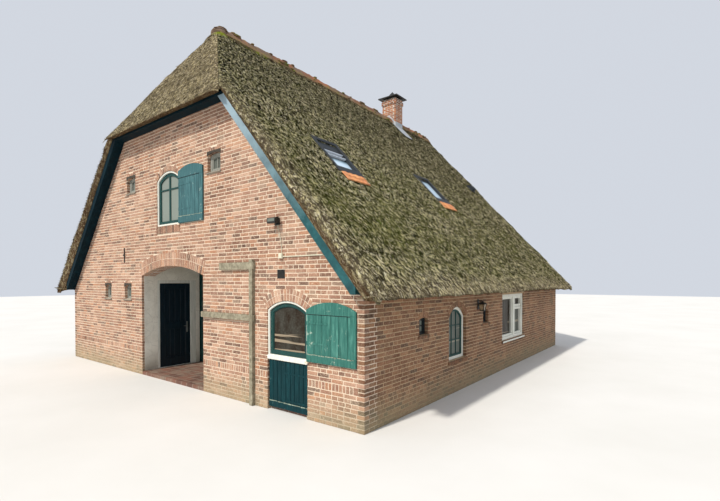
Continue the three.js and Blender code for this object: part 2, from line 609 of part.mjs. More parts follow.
// A long plate with a spindle and a lever, standing out of the face at y = 0
function leverHandle() {
  const plate = block(-HANDLE.half, HANDLE.half, -HANDLE.thickness, 0, HANDLE.bottom, HANDLE.top);
  const spindle = block(-SPINDLE.half, SPINDLE.half, -SPINDLE.reach, -SPINDLE.root,
    LEVER.z - SPINDLE.half, LEVER.z + SPINDLE.half);
  const lever = block(-LEVER.length, SPINDLE.half, -LEVER.far, -LEVER.near,
    LEVER.z - LEVER.half, LEVER.z + LEVER.half);
  return plate.add(spindle).add(lever);
}

// Roof lights let into the thatch, each with a tiled apron below it, and a small roof vent
function addRoofLights() {
  const { width, length, top, raise, depth } = ROOF_LIGHT;
  const { side, end, recess } = ROOF_LIGHT_RIM;
  const half = width / 2;
  const apronHalf = half - APRON.inset;
  ROOF_LIGHTS.forEach((y, index) => {
    const place = index === 0 ? 'front' : 'rear';
    const rim = block(0, length, -half, half, -depth, raise)
      .subtract(block(end, length - end, side - half, half - side, -recess, raise + LAP));
    addPiece(slope, `roof_light_${place}`, rim, darkMetal, [top, y, 0]);
    const apron = block(0, APRON.length, -apronHalf, apronHalf, LAP / 2, APRON.thickness);
    addPiece(slope, `roof_light_apron_${place}`, apron, terracotta, [top + length + APRON.gap, y, 0]);
  });
  const ventHalf = ROOF_VENT.width / 2;
  const vent = block(0, ROOF_VENT.length, -ventHalf, ventHalf, LAP / 2, ROOF_VENT.height);
  addPiece(slope, 'roof_vent', vent, darkMetal, [ROOF_VENT.top, ROOF_VENT.y, 0]);
}

// A lantern hung from an arm on the right wall
function addLantern() {
  const { half, near, far, bottom, top } = LANTERN;
  const plate = block(-LANTERN_PLATE.half, LANTERN_PLATE.half, -LANTERN_PLATE.thickness, -SEAT_GAP,
    LANTERN_PLATE.bottom, LANTERN_PLATE.top);
  const arm = block(-LANTERN_ARM.half, LANTERN_ARM.half, -LANTERN_ARM.reach, -LANTERN_ARM.root,
    LANTERN_ARM.bottom, LANTERN_ARM.top);
  const lamp = block(-half, half, -far, -near, bottom, top);
  addPiece(rightSide, 'wall_lantern', plate.add(arm).add(lamp), darkMetal, [LANTERN.x, 0, 0]);
}

// A flood light on a plate, high on the front wall
function addFloodLight() {
  const { half, near, far, bottom, top } = FLOOD_LIGHT;
  const plate = block(-FLOOD_PLATE.half, FLOOD_PLATE.half, -FLOOD_PLATE.thickness, -SEAT_GAP,
    FLOOD_PLATE.bottom, FLOOD_PLATE.top);
  const head = block(-half, half, -far, -near, bottom, top);
  addPiece(frontSide, 'flood_light', plate.add(head), darkMetal, [FLOOD_LIGHT.x, 0, 0]);
}

// A post and two old rails fixed to the front wall beside the recess
function addRails() {
  const tail = RAIL_POST.right + RAIL_TAIL;
  const rails = [UPPER_RAIL, LOWER_RAIL].map(({ left, bottom, top }) => (
    block(left, tail, -RAIL_DEPTH, -SEAT_GAP, bottom, top)));
  const post = block(RAIL_POST.left, RAIL_POST.right, -RAIL_POST.depth, -SEAT_GAP, 0, RAIL_POST.top);
  addPiece(frontSide, 'climber_rails', rails.reduce((solid, rail) => solid.add(rail), post), oldWood);
}

addFrontWall();
addRearWall();
addSideWalls();
addFloors();
addThatch();
addRidge();
addBoards();
addChimney();
addWindows();
addStableDoor();
addUpperWindow();
addRecess();
addRoofLights();
addLantern();
addFloodLight();
addRails();

export default house;
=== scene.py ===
import math

import bmesh
import bpy
import numpy as np
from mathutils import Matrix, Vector


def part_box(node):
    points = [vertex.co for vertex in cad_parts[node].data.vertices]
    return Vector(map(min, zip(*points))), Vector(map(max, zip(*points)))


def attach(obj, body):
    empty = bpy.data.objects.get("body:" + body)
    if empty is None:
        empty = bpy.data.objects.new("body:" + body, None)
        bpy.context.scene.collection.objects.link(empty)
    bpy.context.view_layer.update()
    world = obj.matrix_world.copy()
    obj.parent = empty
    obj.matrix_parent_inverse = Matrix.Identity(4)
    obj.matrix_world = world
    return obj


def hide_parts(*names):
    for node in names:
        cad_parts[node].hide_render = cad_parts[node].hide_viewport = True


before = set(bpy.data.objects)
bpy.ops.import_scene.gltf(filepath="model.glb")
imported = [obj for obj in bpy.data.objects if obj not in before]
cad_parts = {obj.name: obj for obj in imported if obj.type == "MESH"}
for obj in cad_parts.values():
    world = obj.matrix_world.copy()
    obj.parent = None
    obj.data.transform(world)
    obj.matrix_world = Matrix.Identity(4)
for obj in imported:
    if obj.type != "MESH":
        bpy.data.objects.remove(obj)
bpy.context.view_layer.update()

# Walls, from the frame
HALF_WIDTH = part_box("side_wall_right")[1].x
HALF_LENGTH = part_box("rear_wall")[1].y
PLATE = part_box("bargeboard_right")[0].z
FLOOR_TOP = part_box("ground_floor")[1].z

# Roof, from the frame, and as in the source where the frame doesn't give it
EAVE_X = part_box("thatch_right")[1].x
RIDGE_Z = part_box("thatch_right")[1].z
FRONT_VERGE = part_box("thatch_right")[0].y
REAR_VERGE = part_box("thatch_right")[1].y
HIP_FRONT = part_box("thatch_hip")[0].y
HIP_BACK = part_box("thatch_hip")[1].y
HIP_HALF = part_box("thatch_hip")[1].x
HIP_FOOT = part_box("thatch_hip")[0].z
HIP_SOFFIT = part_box("bargeboard_hip")[0].z
BOARD_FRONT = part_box("bargeboard_right")[0].y
EAVE_Z = 1.86
SOFFIT_SLOPE = 1.147
BOARD_RISE = 0.205
HIP_BOARD_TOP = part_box("bargeboard_hip")[1].z
TOP_SLOPE = (RIDGE_Z - EAVE_Z) / EAVE_X
HIP_SLOPE = (RIDGE_Z - HIP_FOOT) / (HIP_BACK - HIP_FRONT)
DOWN_SIDE = math.hypot(1, TOP_SLOPE)
DOWN_HIP = math.hypot(1, HIP_SLOPE)

# The thatch's thick edges, which end behind the thin ones of the CAD slabs
EDGE_IN = 0.03
REAR_EDGE = REAR_VERGE - EDGE_IN
HIP_EDGE = HIP_FRONT + 0.10
HIP_EDGE_FOOT = 5.25
HIP_BOX = 5.235
BEHIND_BOARD = BOARD_FRONT - 0.008
ARCH_STEPS = 12

# Courses of the thatch and fittings on it, down the slope from the ridge, as in the source
COURSES = [(1.15, 2.34), (2.35, 3.12), (3.48, 4.935), (5.21, 6.74), (6.75, 7.65)]
COURSE_SINK = 0.025
COURSE_STEP = 0.03
LIGHT_PLACES = (-3.34, 0.5)
LIGHT_TOP = 3.90
LIGHT_LENGTH = 1.04
LIGHT_HALF = 0.35
APRON_LENGTH = 0.25
APRON_HALF = 0.33
VENT_PLACE = 4.7
VENT_TOP = 3.15
VENT_SIZE = 0.30
VENT_HALF = 0.13

# Chimney, as in the source
STACK_HALF = 0.27
STACK_FRONT = 2.90
STACK_BACK = 3.33
STACK_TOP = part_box("chimney_stack")[1].z
STACK_BAND = (8.19, 8.315)
STACK_LIP = 0.025
LEAD_HEIGHT = 0.13

# Brickwork
BRICK = 0.211
JOINT = 0.013
COURSE = 0.063
HEADER = 0.101
ON_EDGE = 0.062
ARCH_DEEP = -0.062
PROUD = 0.005
BED = 0.004
BAND = (0.505, 0.618)
LOW_ROWS = 8
REVEAL = 0.002

UP = np.array((0.0, 0.0, 1.0))
NOISE_CELLS = 128

# Materials by name, filled before the pieces are built
LOOKS = {}


def tone(code):
    """Linear colour of a six-digit screen colour."""
    channels = [int(code[i:i + 2], 16) / 255 for i in (0, 2, 4)]
    return [c / 12.92 if c <= 0.04045 else ((c + 0.055) / 1.055) ** 2.4 for c in channels] + [1.0]


# Nodes of a material
class Look:
    """A principled material under construction, whose colour is laid on coat by coat."""

    def __init__(self, name, **values):
        self.material = bpy.data.materials.new(name)
        self.material.use_nodes = True
        self.tree = self.material.node_tree
        self.shader = self.tree.nodes["Principled BSDF"]
        for socket, value in values.items():
            self.shader.inputs[socket.replace("_", " ")].default_value = value
        self.place = self.node("TexCoord").outputs["Object"]
        self.colour = None

    def node(self, kind, inputs=None, **settings):
        """A node whose inputs are linked or set; a colour is given by its code."""
        made = self.tree.nodes.new("ShaderNode" + kind)
        for key, value in settings.items():
            setattr(made, key, value)
        for key, value in (inputs or {}).items():
            if isinstance(value, bpy.types.NodeSocket):
                self.tree.links.new(value, made.inputs[key])
            else:
                made.inputs[key].default_value = tone(value) if isinstance(value, str) else value
        return made

    def stretch(self, scale, vector=None, turn=(0, 0, 0)):
        inputs = {"Vector": vector or self.place, "Scale": scale, "Rotation": turn}
        return self.node("Mapping", inputs).outputs[0]

    def attribute(self, name, output="Fac"):
        return self.node("Attribute", attribute_name=name).outputs[output]

    def noise(self, scale, vector=None, detail=3.0, roughness=0.6, distortion=0.0):
        return self.node("TexNoise", {
            "Vector": vector or self.place, "Scale": scale, "Detail": detail, "Roughness": roughness,
            "Distortion": distortion}).outputs["Fac"]

    def ramp(self, value, stops):
        made = self.node("ValToRGB", {"Fac": value})
        elements = made.color_ramp.elements
        while len(elements) < len(stops):
            elements.new(0.5)
        for element, (position, colour) in zip(elements, stops):
            element.position = position
            element.color = tone(colour)
        return made.outputs["Color"]

    def mask(self, value, low, high):
        return self.node("MapRange", {"Value": value, "From Min": low, "From Max": high}).outputs[0]

    def calc(self, operation, first, second=0.0):
        return self.node("Math", {0: first, 1: second}, operation=operation).outputs[0]

    def times(self, first, second):
        return self.calc("MULTIPLY", first, second)

    def plus(self, first, second):
        return self.calc("ADD", first, second)

    def part(self, vector, index):
        return self.node("SeparateXYZ", {0: vector}).outputs[index]

    def axis(self, index):
        return self.part(self.place, index)

    def mix(self, share, first, second, mode="MIX"):
        inputs = {0: share, 6: first, 7: second}
        return self.node("Mix", inputs, data_type="RGBA", blend_type=mode).outputs[2]

    def base(self, value, stops):
        """The first coat, a ramp over a value."""
        self.colour = self.ramp(value, stops)

    def coat(self, share, colour, strength=1.0, blend=None, mode="MIX"):
        """A coat where share is 1; blend is how much of its colour is mixed in, all of it where None."""
        if strength != 1.0:
            share = self.times(share, strength)
        if blend is not None:
            colour = self.mix(blend, self.colour, colour, mode)
        self.colour = self.mix(share, self.colour, colour)

    def stain(self, share, colour, blend, strength=1.0):
        """A coat that darkens what is below it."""
        self.coat(share, colour, strength, blend, "MULTIPLY")

    def rough(self, value, low, high):
        made = self.node("MapRange", {"Value": value, "To Min": low, "To Max": high})
        self.tree.links.new(made.outputs[0], self.shader.inputs["Roughness"])

    def bump(self, height, distance, strength=1.0):
        below = self.shader.inputs["Normal"]
        made = self.node("Bump", {"Height": height, "Distance": distance, "Strength": strength})
        if below.is_linked:
            self.tree.links.new(below.links[0].from_socket, made.inputs["Normal"])
        self.tree.links.new(made.outputs[0], below)

    def done(self):
        self.tree.links.new(self.colour, self.shader.inputs["Base Color"])
        return self.material


# Meshes
class Shape:
    """Vertices and faces of one piece, gathered part by part in the axes of a wall, if it has one."""

    def __init__(self, wall=None):
        self.wall = wall
        self.points = []
        self.faces = []
        self.tints = []
        self.count = 0

    def place(self, points):
        return self.wall.place(points) if self.wall else np.asarray(points, float)

    def add(self, points, faces, tint=0.5):
        """Points in the world's axes, and arrays of corner numbers with one face to a row."""
        points = points.reshape(-1, 3)
        self.faces += [block + self.count for block in faces]
        self.points.append(points)
        self.tints.append(np.broadcast_to(np.asarray(tint, float), len(points)))
        self.count += len(points)

    def skin(self, loops, ring=False, tint=0.5):
        """Skin over loops in the world's axes; a ring joins the last loop to the first."""
        rows, size = loops.shape[:2]
        index = np.arange(rows * size).reshape(rows, size)
        above = np.roll(index, -1, 0) if ring else index[1:]
        below = index if ring else index[:-1]
        quads = np.stack([below, np.roll(below, -1, 1), np.roll(above, -1, 1), above], -1).reshape(-1, 4)
        ends = [] if ring else [index[:1, ::-1], index[-1:]]
        self.add(loops, [quads, *ends], tint)

    def loft(self, loops, ring=False, tint=0.5):
        """Skin over loops in the shape's own axes."""
        self.skin(self.place(loops), ring, tint)

    def block(self, low, high, chamfer=0.003, tint=0.5):
        """A chamfered block between two corners."""
        low, high = np.array(low, float), np.array(high, float)
        cut = min(chamfer, 0.45 * (high - low).min())
        rings = []
        for z, inset in ((low[2], cut), (low[2] + cut, 0), (high[2] - cut, 0), (high[2], cut)):
            (x0, y0), (x1, y1) = low[:2] + inset, high[:2] - inset
            rings.append([(x0, y0, z), (x1, y0, z), (x1, y1, z), (x0, y1, z)])
        self.loft(rings, tint=tint)

    def object(self, name, look, slot, body="house", replaces=(), smooth=30):
        """Makes the piece, seats it on its body and returns it; smooth is the angle of its sharp edges."""
        points = np.concatenate(self.points).astype(np.float32)
        sizes = np.concatenate([np.full(len(block), block.shape[1]) for block in self.faces])
        corners = np.concatenate([block.ravel() for block in self.faces])
        mesh = bpy.data.meshes.new(name)
        mesh.vertices.add(len(points))
        mesh.vertices.foreach_set("co", points.ravel())
        mesh.loops.add(len(corners))
        mesh.loops.foreach_set("vertex_index", corners.astype(np.int32))
        mesh.polygons.add(len(sizes))
        mesh.polygons.foreach_set("loop_start", (np.cumsum(sizes) - sizes).astype(np.int32))
        mesh.update(calc_edges=True)
        write_values(mesh, "tint", np.concatenate(self.tints))
        piece = bpy.data.objects.new(name, mesh)
        bpy.context.scene.collection.objects.link(piece)
        mesh.materials.append(LOOKS[look])
        if smooth:
            outward(mesh)
            mesh.shade_smooth()
            mesh.set_sharp_from_angle(angle=math.radians(smooth))
        else:
            mesh.shade_flat()
        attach(piece, body)
        if replaces:
            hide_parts(*replaces)
        return piece


def outward(mesh):
    work = bmesh.new()
    work.from_mesh(mesh)
    bmesh.ops.recalc_face_normals(work, faces=work.faces)
    work.to_mesh(mesh)
    work.free()


def write_values(mesh, name, values):
    kind = "FLOAT" if values.ndim == 1 else "FLOAT_VECTOR"
    key = "value" if values.ndim == 1 else "vector"
    mesh.attributes.new(name, kind, "POINT").data.foreach_set(key, values.astype(np.float32).ravel())


def smooth_noise(u, v, seed):
    """Smooth noise from -1 to 1 on a plane with cells of size 1."""
    table = np.random.default_rng(seed).uniform(-1, 1, (NOISE_CELLS, NOISE_CELLS))
    iu, iv = np.floor(u).astype(int), np.floor(v).astype(int)
    fu, fv = u - iu, v - iv
    fu, fv = fu * fu * (3 - 2 * fu), fv * fv * (3 - 2 * fv)
    left, right = iu % NOISE_CELLS, (iu + 1) % NOISE_CELLS
    low, high = iv % NOISE_CELLS, (iv + 1) % NOISE_CELLS
    near = table[left, low] * (1 - fu) + table[right, low] * fu
    far = table[left, high] * (1 - fu) + table[right, high] * fu
    return near * (1 - fv) + far * fv


# Walls and their openings
class Wall:
    """A wall's own axes: u to the right seen from outside, v up, and w out of its outer face."""

    def __init__(self, origin, across, half=0.0, up=UP):
        self.origin = np.array(origin, float)
        self.across = np.array(across, float)
        self.up = np.array(up, float)
        self.out = np.cross(self.across, self.up)
        self.half = half

    def place(self, points):
        points = np.asarray(points, float)
        return (self.origin + points[..., :1] * self.across + points[..., 1:2] * self.up
                + points[..., 2:] * self.out)

    def reach(self, node):
        """Lowest and highest u and v of a CAD node."""
        corners = [np.array(corner) - self.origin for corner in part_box(node)]
        u = sorted(float(corner @ self.across) for corner in corners)
        return u[0], u[1], float(corners[0][2]), float(corners[1][2])


FRONT = Wall((0, -HALF_LENGTH, 0), (1, 0, 0), HALF_WIDTH)
RIGHT = Wall((HALF_WIDTH, 0, 0), (0, 1, 0), HALF_LENGTH)
REAR = Wall((0, HALF_LENGTH, 0), (-1, 0, 0), HALF_WIDTH)
LEFT = Wall((-HALF_WIDTH, 0, 0), (0, -1, 0), HALF_LENGTH)

# The right slope as a wall: u runs back along the ridge, v up the slope to 0 at the ridge
PITCH = math.atan(TOP_SLOPE)
SLOPE = Wall((0, 0, RIDGE_Z), (0, 1, 0), up=(-math.cos(PITCH), 0, math.sin(PITCH)))


class Opening:
    """A hole in a wall with a flat foot and a segmental head, and the brick ring and sill around it."""

    def __init__(self, u, half, bottom, spring, rise, ring=0.0, sill=0.0):
        self.u, self.half, self.bottom, self.spring = u, half, bottom, spring
        self.rise, self.ring, self.sill = rise, ring, sill
        self.radius = (half * half + rise * rise) / (2 * rise) if rise else 0.0
        self.centre = spring + rise - self.radius
        self.sweep = math.asin(half / self.radius) if rise else 0.0

    @classmethod
    def around(cls, wall, node, rise, ring=0.0, sill=0.0, fit=0.003):
        u0, u1, v0, v1 = wall.reach(node)
        top = v1 + fit
        return cls((u0 + u1) / 2, (u1 - u0) / 2 + fit, v0, top - rise, rise, ring, sill)

    def outline(self, inset=0.0, foot=0.0, w=0.0):
        """Outline made smaller by inset at the sides and head and by foot below, at a depth w."""
        reach = self.half - inset
        base = [(self.u - reach, self.bottom + foot, w), (self.u + reach, self.bottom + foot, w)]
        if not self.rise:
            top = self.spring - inset
            return np.array(base + [(self.u + reach, top, w), (self.u - reach, top, w)])
        radius = self.radius - inset
        sweep = math.asin(reach / radius)
        angles = sweep * np.linspace(1, -1, ARCH_STEPS + 1)
        head = [(self.u + radius * math.sin(a), self.centre + radius * math.cos(a), w) for a in angles]
        return np.array(base + head)

    def head(self, u):
        """Height of the head over a place across the opening."""
        if not self.rise:
            return np.full(np.shape(u), self.spring)
        return self.centre + np.sqrt(np.maximum(self.radius ** 2 - (np.asarray(u) - self.u) ** 2, 0))

    def strip(self, v):
        """The part of a course at height v that the opening, its ring and its sill take."""
        if v < self.bottom - self.sill or self.half == 0:
            return None
        half = self.half
        outer = self.radius + self.ring
        if self.rise and v > self.spring:
            shoulder = self.centre + outer * math.cos(self.sweep)
            if v >= self.centre + outer:
                return None
            if v < shoulder:
                half += (v - self.spring) * math.tan(self.sweep)
            else:
                half = math.sqrt(outer ** 2 - (v - self.centre) ** 2)
        elif v > self.spring + self.ring:
            return None
        return self.u - half, self.u + half


# Brickwork
def brick_blocks(corners, front, back, chamfer=0.004):
    """Chamfered blocks on (n, 4, 2) outlines, as (n, 12, 3) points in wall axes."""
    centre = corners.mean(1, keepdims=True)
    inward = centre - corners
    inset = corners + chamfer * np.sign(inward) * np.minimum(1, np.abs(inward) / chamfer)
    layers = [(inset, front), (corners, front - chamfer), (corners, back)]
    return np.concatenate(
        [np.dstack([flat, np.broadcast_to(depth[:, None], flat.shape[:2])]) for flat, depth in layers], 1)


BRICK_FACES = np.array([(0, 1, 2, 3), (11, 10, 9, 8)] + [
    (low + i, low + (i + 1) % 4, high + (i + 1) % 4, high + i)
    for low, high in ((4, 0), (8, 4)) for i in range(4)])


def lay(shape, corners, rng, back, front=PROUD, chamfer=0.004):
    """Adds bricks on (n, 4, 2) outlines to a shape, with small differences between them."""
    corners = np.asarray(corners, float)
    back = np.broadcast_to(np.asarray(back, float), len(corners))
    loose = corners + rng.normal(0, 0.0012, corners.shape)
    loose[..., 1] = np.maximum(loose[..., 1], 0.0005)
    points = brick_blocks(loose, front + rng.uniform(-0.0015, 0.0015, len(corners)), back, chamfer)
    count = len(corners)
    faces = (BRICK_FACES[None] + 12 * np.arange(count)[:, None, None]).reshape(-1, 4)
    shape.add(shape.place(points), [faces], np.repeat(rng.random(count), 12))


def course_cuts(low, high, pitch, shift, least=0.055):
    """Left and right ends of the bricks of one course between two ends."""
    steps = np.arange(math.floor((low - shift) / pitch), math.ceil((high - shift) / pitch) + 1)
    joints = shift + pitch * steps
    joints = joints[(joints > low + least) & (joints < high - least)]
    left = np.concatenate([[low], joints + JOINT / 2])
    right = np.concatenate([joints - JOINT / 2, [high]])
    return left, right


def free_strips(low, high, taken):
    """The stretches between two ends that no opening takes."""
    strips = []
    for start, stop in sorted(taken):
        if start > low:
            strips.append((low, min(start, high)))
        low = max(low, stop)
    if low < high:
        strips.append((low, high))
    return [(a, b) for a, b in strips if b - a > 0.02]


def course_levels(split):
    """Foot, height and number of each course; the band is split in two rows on all walls but the front."""
    size = BAND[0] / LOW_ROWS
    levels = [(row * size, size, row) for row in range(LOW_ROWS)]
    deep = BAND[1] - BAND[0]
    levels += [(BAND[0] + part * deep / split, deep / split, LOW_ROWS) for part in range(split)]
    levels += [(BAND[1] + row * COURSE, COURSE, LOW_ROWS + 1 + row) for row in range(120)]
    return levels


def brick_wall(shape, half, top, openings, rng, split=2):
    """Courses of a wall up to a height; half gives half its width at a height."""
    wall = shape.wall
    gable_end = wall is FRONT or wall is REAR
    for v, size, row in course_levels(split):
        middle = v + size / 2
        if v > top:
            break
        soldier = split == 1 and row == LOW_ROWS
        through = row % 2 == 1 if gable_end else row % 2 == 0
        full = half(middle) > wall.half - 1e-6
        edge = half(middle)
        if full:
            edge = wall.half + PROUD if through else wall.half - HEADER - JOINT + PROUD
        taken = [strip for strip in (o.strip(middle) for o in openings) if strip]
        for low, high in free_strips(-edge, edge, taken):
            headers = (v < BAND[0] and row % 2 == 0) or row % 6 == 5
            pitch = 0.065 if soldier else (HEADER + JOINT if headers else BRICK + JOINT)
            shift = pitch * (0.5 if row % 2 else 0.25) + rng.normal(0, 0.004)
            left, right = course_cuts(low, high, pitch, shift, 0.02 if soldier else 0.055)
            back = np.full(len(left), -BED)
            for index, end in ((0, low), (len(left) - 1, high)):
                if full and abs(abs(end) - edge) < 1e-6:
                    back[index] = -HEADER if through else -BED
                elif any(abs(end - side) < 1e-6 for strip in taken for side in strip):
                    back[index] = ARCH_DEEP
            left[0] -= REVEAL if low > -edge + 1e-6 else 0
            right[-1] += REVEAL if high < edge - 1e-6 else 0
            lay(shape, oblongs(left, right, v, v + size - JOINT), rng, back)


def oblongs(left, right, low, high):
    """Outlines of upright oblongs between arrays of left and right ends."""
    return np.stack([np.stack([u, np.full(len(u), v)], -1)
                     for u, v in ((left, low), (right, low), (right, high), (left, high))], 1)


def gable_half(v):
    """Half the width of a gable at a height, a little past the soffit line."""
    return HALF_WIDTH if v < PLATE else HALF_WIDTH - (v - PLATE) / SOFFIT_SLOPE + 0.02


def ring_bricks(shape, opening, rng, layers):
    """The bricks on edge of an arch, in one or more layers through the wall."""
    count = round(2 * opening.sweep * opening.radius / ON_EDGE)
    edges = opening.sweep * np.linspace(-1, 1, count + 1)
    gap = 0.5 * JOINT / (opening.radius + opening.ring / 2)
    inner, outer = opening.radius - 0.002, opening.radius + opening.ring - JOINT
    rows = [(inner, outer)]
    if opening.ring > 0.18:
        middle = opening.radius + opening.ring * 0.52
        rows = [(inner, middle - JOINT / 3), (middle + JOINT / 3, outer)]
    for near, far in layers:
        for low, high in rows:
            corners = [[(opening.u + r * math.sin(a), opening.centre + r * math.cos(a)) for r, a in (
                (low, left + gap), (low, right - gap), (high, right - gap), (high, left + gap))]
                for left, right in zip(edges[:-1], edges[1:])]
            lay(shape, corners, rng, far, near, 0.003)


def sill_bricks(shape, opening, rng, height, proud=0.03, over=0.03):
    """Bricks on edge under a window."""
    start, stop = opening.u - opening.half - over, opening.u + opening.half + over
    left, right = course_cuts(start, stop, ON_EDGE, 0, 0.03)
    low, high = opening.bottom - height, opening.bottom - 0.003
    corners = [[(a, low), (b, low), (b, high), (a, high)] for a, b in zip(left, right)]
    lay(shape, corners, rng, -0.055, proud)


def small_windows(wall, node, places, rise, sill):
    return [Opening.around(wall, f"{node}_{place}", rise, ring=0.11, sill=sill) for place in places]


# Openings of each wall, from the nodes that fill them
SIDES = ("left", "right")
PLACES = ("front", "middle")
RECESS = Opening(0, 1.18, 0, 2.17, 0.20, ring=0.29)
STABLE = Opening(3.44, 0.45, 0, 1.61, 0.15, ring=0.20)
UPPER = Opening.around(FRONT, "upper_window_frame", 0.17, ring=0.11, sill=0.155)
LOW_WINDOWS = small_windows(FRONT, "low_window", SIDES, 0.04, 0.045)
LOFT_WINDOWS = small_windows(FRONT, "loft_window", SIDES, 0.04, 0.045)
SIDE_WINDOWS = small_windows(RIGHT, "side_window", PLACES, 0.03, 0.055)
SIDE_ARCH = Opening.around(RIGHT, "side_window_arched", 0.20, ring=0.11, sill=0.06)
WIDE_WINDOW = Opening.around(RIGHT, "wide_window", 0, sill=0.06, ring=0.04)
LEFT_WINDOW = Opening.around(LEFT, "left_window", 0, sill=0.06, ring=0.04)
REAR_WINDOWS = small_windows(REAR, "rear_window", SIDES, 0.12, 0.06)
REAR_UPPER = Opening.around(REAR, "rear_window_upper", 0.17, ring=0.11, sill=0.06)
VENT_HOLE = Opening(3.32, 0.083, 2.104, 2.24, 0)


def brick_look(name, shades, joints, stain):
    """Weathered brick: a shade for each brick, speckled and stained by its place on the wall."""
    look = Look(name, Roughness=0.9, Specular_IOR_Level=0.25)
    look.base(look.attribute("tint"), shades)
    look.coat(look.mask(look.noise(150, detail=4, roughness=0.7), 0.46, 0.64), joints, blend=0.55)
    pits = look.noise(75, detail=5, roughness=0.75)
    look.stain(look.mask(pits, 0.46, 0.36), stain, 0.7)
    clouds = look.noise(1.3, detail=5, roughness=0.65)
    look.stain(look.mask(clouds, 0.38, 0.66), stain, 0.5)
    foot = look.plus(look.axis(2), look.times(clouds, -0.5))
    look.coat(look.mask(foot, 0.25, -0.25), "a39c7c", 0.5)
    look.coat(look.mask(look.noise(26, detail=4, roughness=0.7), 0.54, 0.68), joints, 0.5)
    look.bump(pits, 0.006)
    look.bump(look.noise(420, detail=2), 0.0015)
    return look.done()


def mortar_look(name, joint, dark):
    """Sandy mortar outside, lime plaster inside the rooms, on the CAD walls."""
    look = Look(name, Roughness=0.95)
    grain = look.noise(70, detail=5, roughness=0.7)
    look.base(grain, [(0.3, dark), (0.7, joint)])
    look.coat(look.mask(look.axis(2), 0.45, 0.0), "8b8262", 0.6)
    inside = look.ramp(look.noise(3, detail=4), [(0.3, "b9b5aa"), (0.8, "cfccc2")])
    deep_x = look.calc("LESS_THAN", look.calc("ABSOLUTE", look.axis(0)), HALF_WIDTH - 0.1)
    deep_y = look.calc("LESS_THAN", look.calc("ABSOLUTE", look.axis(1)), HALF_LENGTH - 0.1)
    look.coat(look.times(deep_x, deep_y), inside)
    look.bump(grain, 0.003)
    look.bump(look.noise(500, detail=2), 0.001)
    return look.done()


FRONT_SHADES = [(0.0, "5c3e36"), (0.12, "8a6151"), (0.3, "b0856e"), (0.5, "976b58"), (0.68, "c39e88"),
                (0.85, "b47c5b"), (0.95, "a08775"), (1.0, "68524a")]
# The side shades are partly the side bricks' own redder tone and partly painted shade: darker, browner
# copies for the walls out of the sun
SHADED_SIDE_SHADES = [(0.0, "52382c"), (0.2, "7a4d36"), (0.45, "936346"), (0.7, "80553a"), (0.88, "a57856"),
               (1.0, "4e382c")]


def build_walls():
    for node in ("front_wall_left", "front_wall_middle", "front_wall_right", "front_wall_gable"):
        repaint(node, "mortar")
    # The rear and side walls take a browner copy of the mortar, which is painted shade
    for node in ("rear_wall", "side_wall_left", "side_wall_right"):
        repaint(node, "shaded_side_mortar")

    rng = np.random.default_rng(11)
    shape = Shape(FRONT)
    front_openings = [RECESS, STABLE, UPPER, VENT_HOLE, *LOW_WINDOWS, *LOFT_WINDOWS]
    brick_wall(shape, gable_half, HIP_BOX, front_openings, rng, 1)
    ring_bricks(shape, RECESS, rng, [(PROUD, -0.14), (-0.15, -0.298)])
    ring_bricks(shape, STABLE, rng, [(PROUD, -0.1)])
    for opening in (UPPER, *LOW_WINDOWS, *LOFT_WINDOWS):
        ring_bricks(shape, opening, rng, [(PROUD, ARCH_DEEP)])
    sill_bricks(shape, UPPER, rng, 0.155, 0.02, 0.0)
    shape.object("bricks_front", "brick_front", "brick", smooth=0)
    bedding = Shape(FRONT)
    outline = [(-gable_half(v) - 0.03, v) for v in (HIP_SOFFIT - 0.02, HIP_BOX + 0.02)]
    outline += [(-u, v) for u, v in reversed(outline)]
    bedding.loft([[(u, v, w) for u, v in outline[::-1]] for w in (-0.05, 0.0)])
    bedding.object("mortar_under_hip", "mortar", "brick")

    for name, wall, openings in (("bricks_right", RIGHT, [*SIDE_WINDOWS, SIDE_ARCH, WIDE_WINDOW]),
                                 ("bricks_left", LEFT, [LEFT_WINDOW]),
                                 ("bricks_rear", REAR, [*REAR_WINDOWS, REAR_UPPER])):
        shape = Shape(wall)
        gabled = wall is REAR
        half = gable_half if gabled else (lambda v: HALF_LENGTH)
        brick_wall(shape, half, 7.4 if gabled else PLATE - 0.02, openings, rng)
        for opening in openings:
            if opening.rise:
                ring_bricks(shape, opening, rng, [(PROUD, ARCH_DEEP)])
            sill_bricks(shape, opening, rng, opening.sill)
        # The side bricks are darker copies of the brickwork, partly painted shade
        shape.object(name, "brick_side", "brick", smooth=0)


def repaint(node, look):
    """Gives a carried-over CAD node its look."""
    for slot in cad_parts[node].material_slots:
        slot.material = LOOKS[look]


# Thatch
EAVE_ROUND = 0.16
VERGE_ROUND = 0.13
HIP_ROUND = 0.30
VERGE_BULGE = 0.34
VERGE_ROWS = 5
DOWN_STRAW = 1.47
RIGHT_STRAWS = 46000
LEFT_STRAWS = 24000
HIP_STRAWS = 14000
VERGE_STRAWS = 5600
EAVE_STRAWS = 7000
HIP_EDGE_STRAWS = 4200
# Height, width, length and seed of each layer of clumps
CLUMPS = ((0.030, 1.5, 1.7, 1), (0.022, 0.45, 0.8, 2), (0.016, 0.16, 0.28, 3), (0.013, 0.07, 0.15, 4))


def slope_soffit(x):
    return PLATE + SOFFIT_SLOPE * (HALF_WIDTH - np.abs(x))


def planes(x, y):
    """Heights of the side slope and of the hip."""
    return RIDGE_Z - TOP_SLOPE * np.abs(x), HIP_FOOT + (y - HIP_FRONT) * HIP_SLOPE


def hip_half(y):
    """Half the width of the hip at a place."""
    return HIP_HALF * (HIP_BACK - y) / (HIP_BACK - HIP_FRONT)


def hip_line(x):
    """The place where the hip meets a side slope."""
    return HIP_BACK - np.abs(x) / HIP_HALF * (HIP_BACK - HIP_FRONT)


def past_hip(x):
    """0 in front of the hip and 1 at the verges beside it."""
    return np.clip((np.abs(x) - HIP_HALF + 0.1) / 0.2, 0, 1)


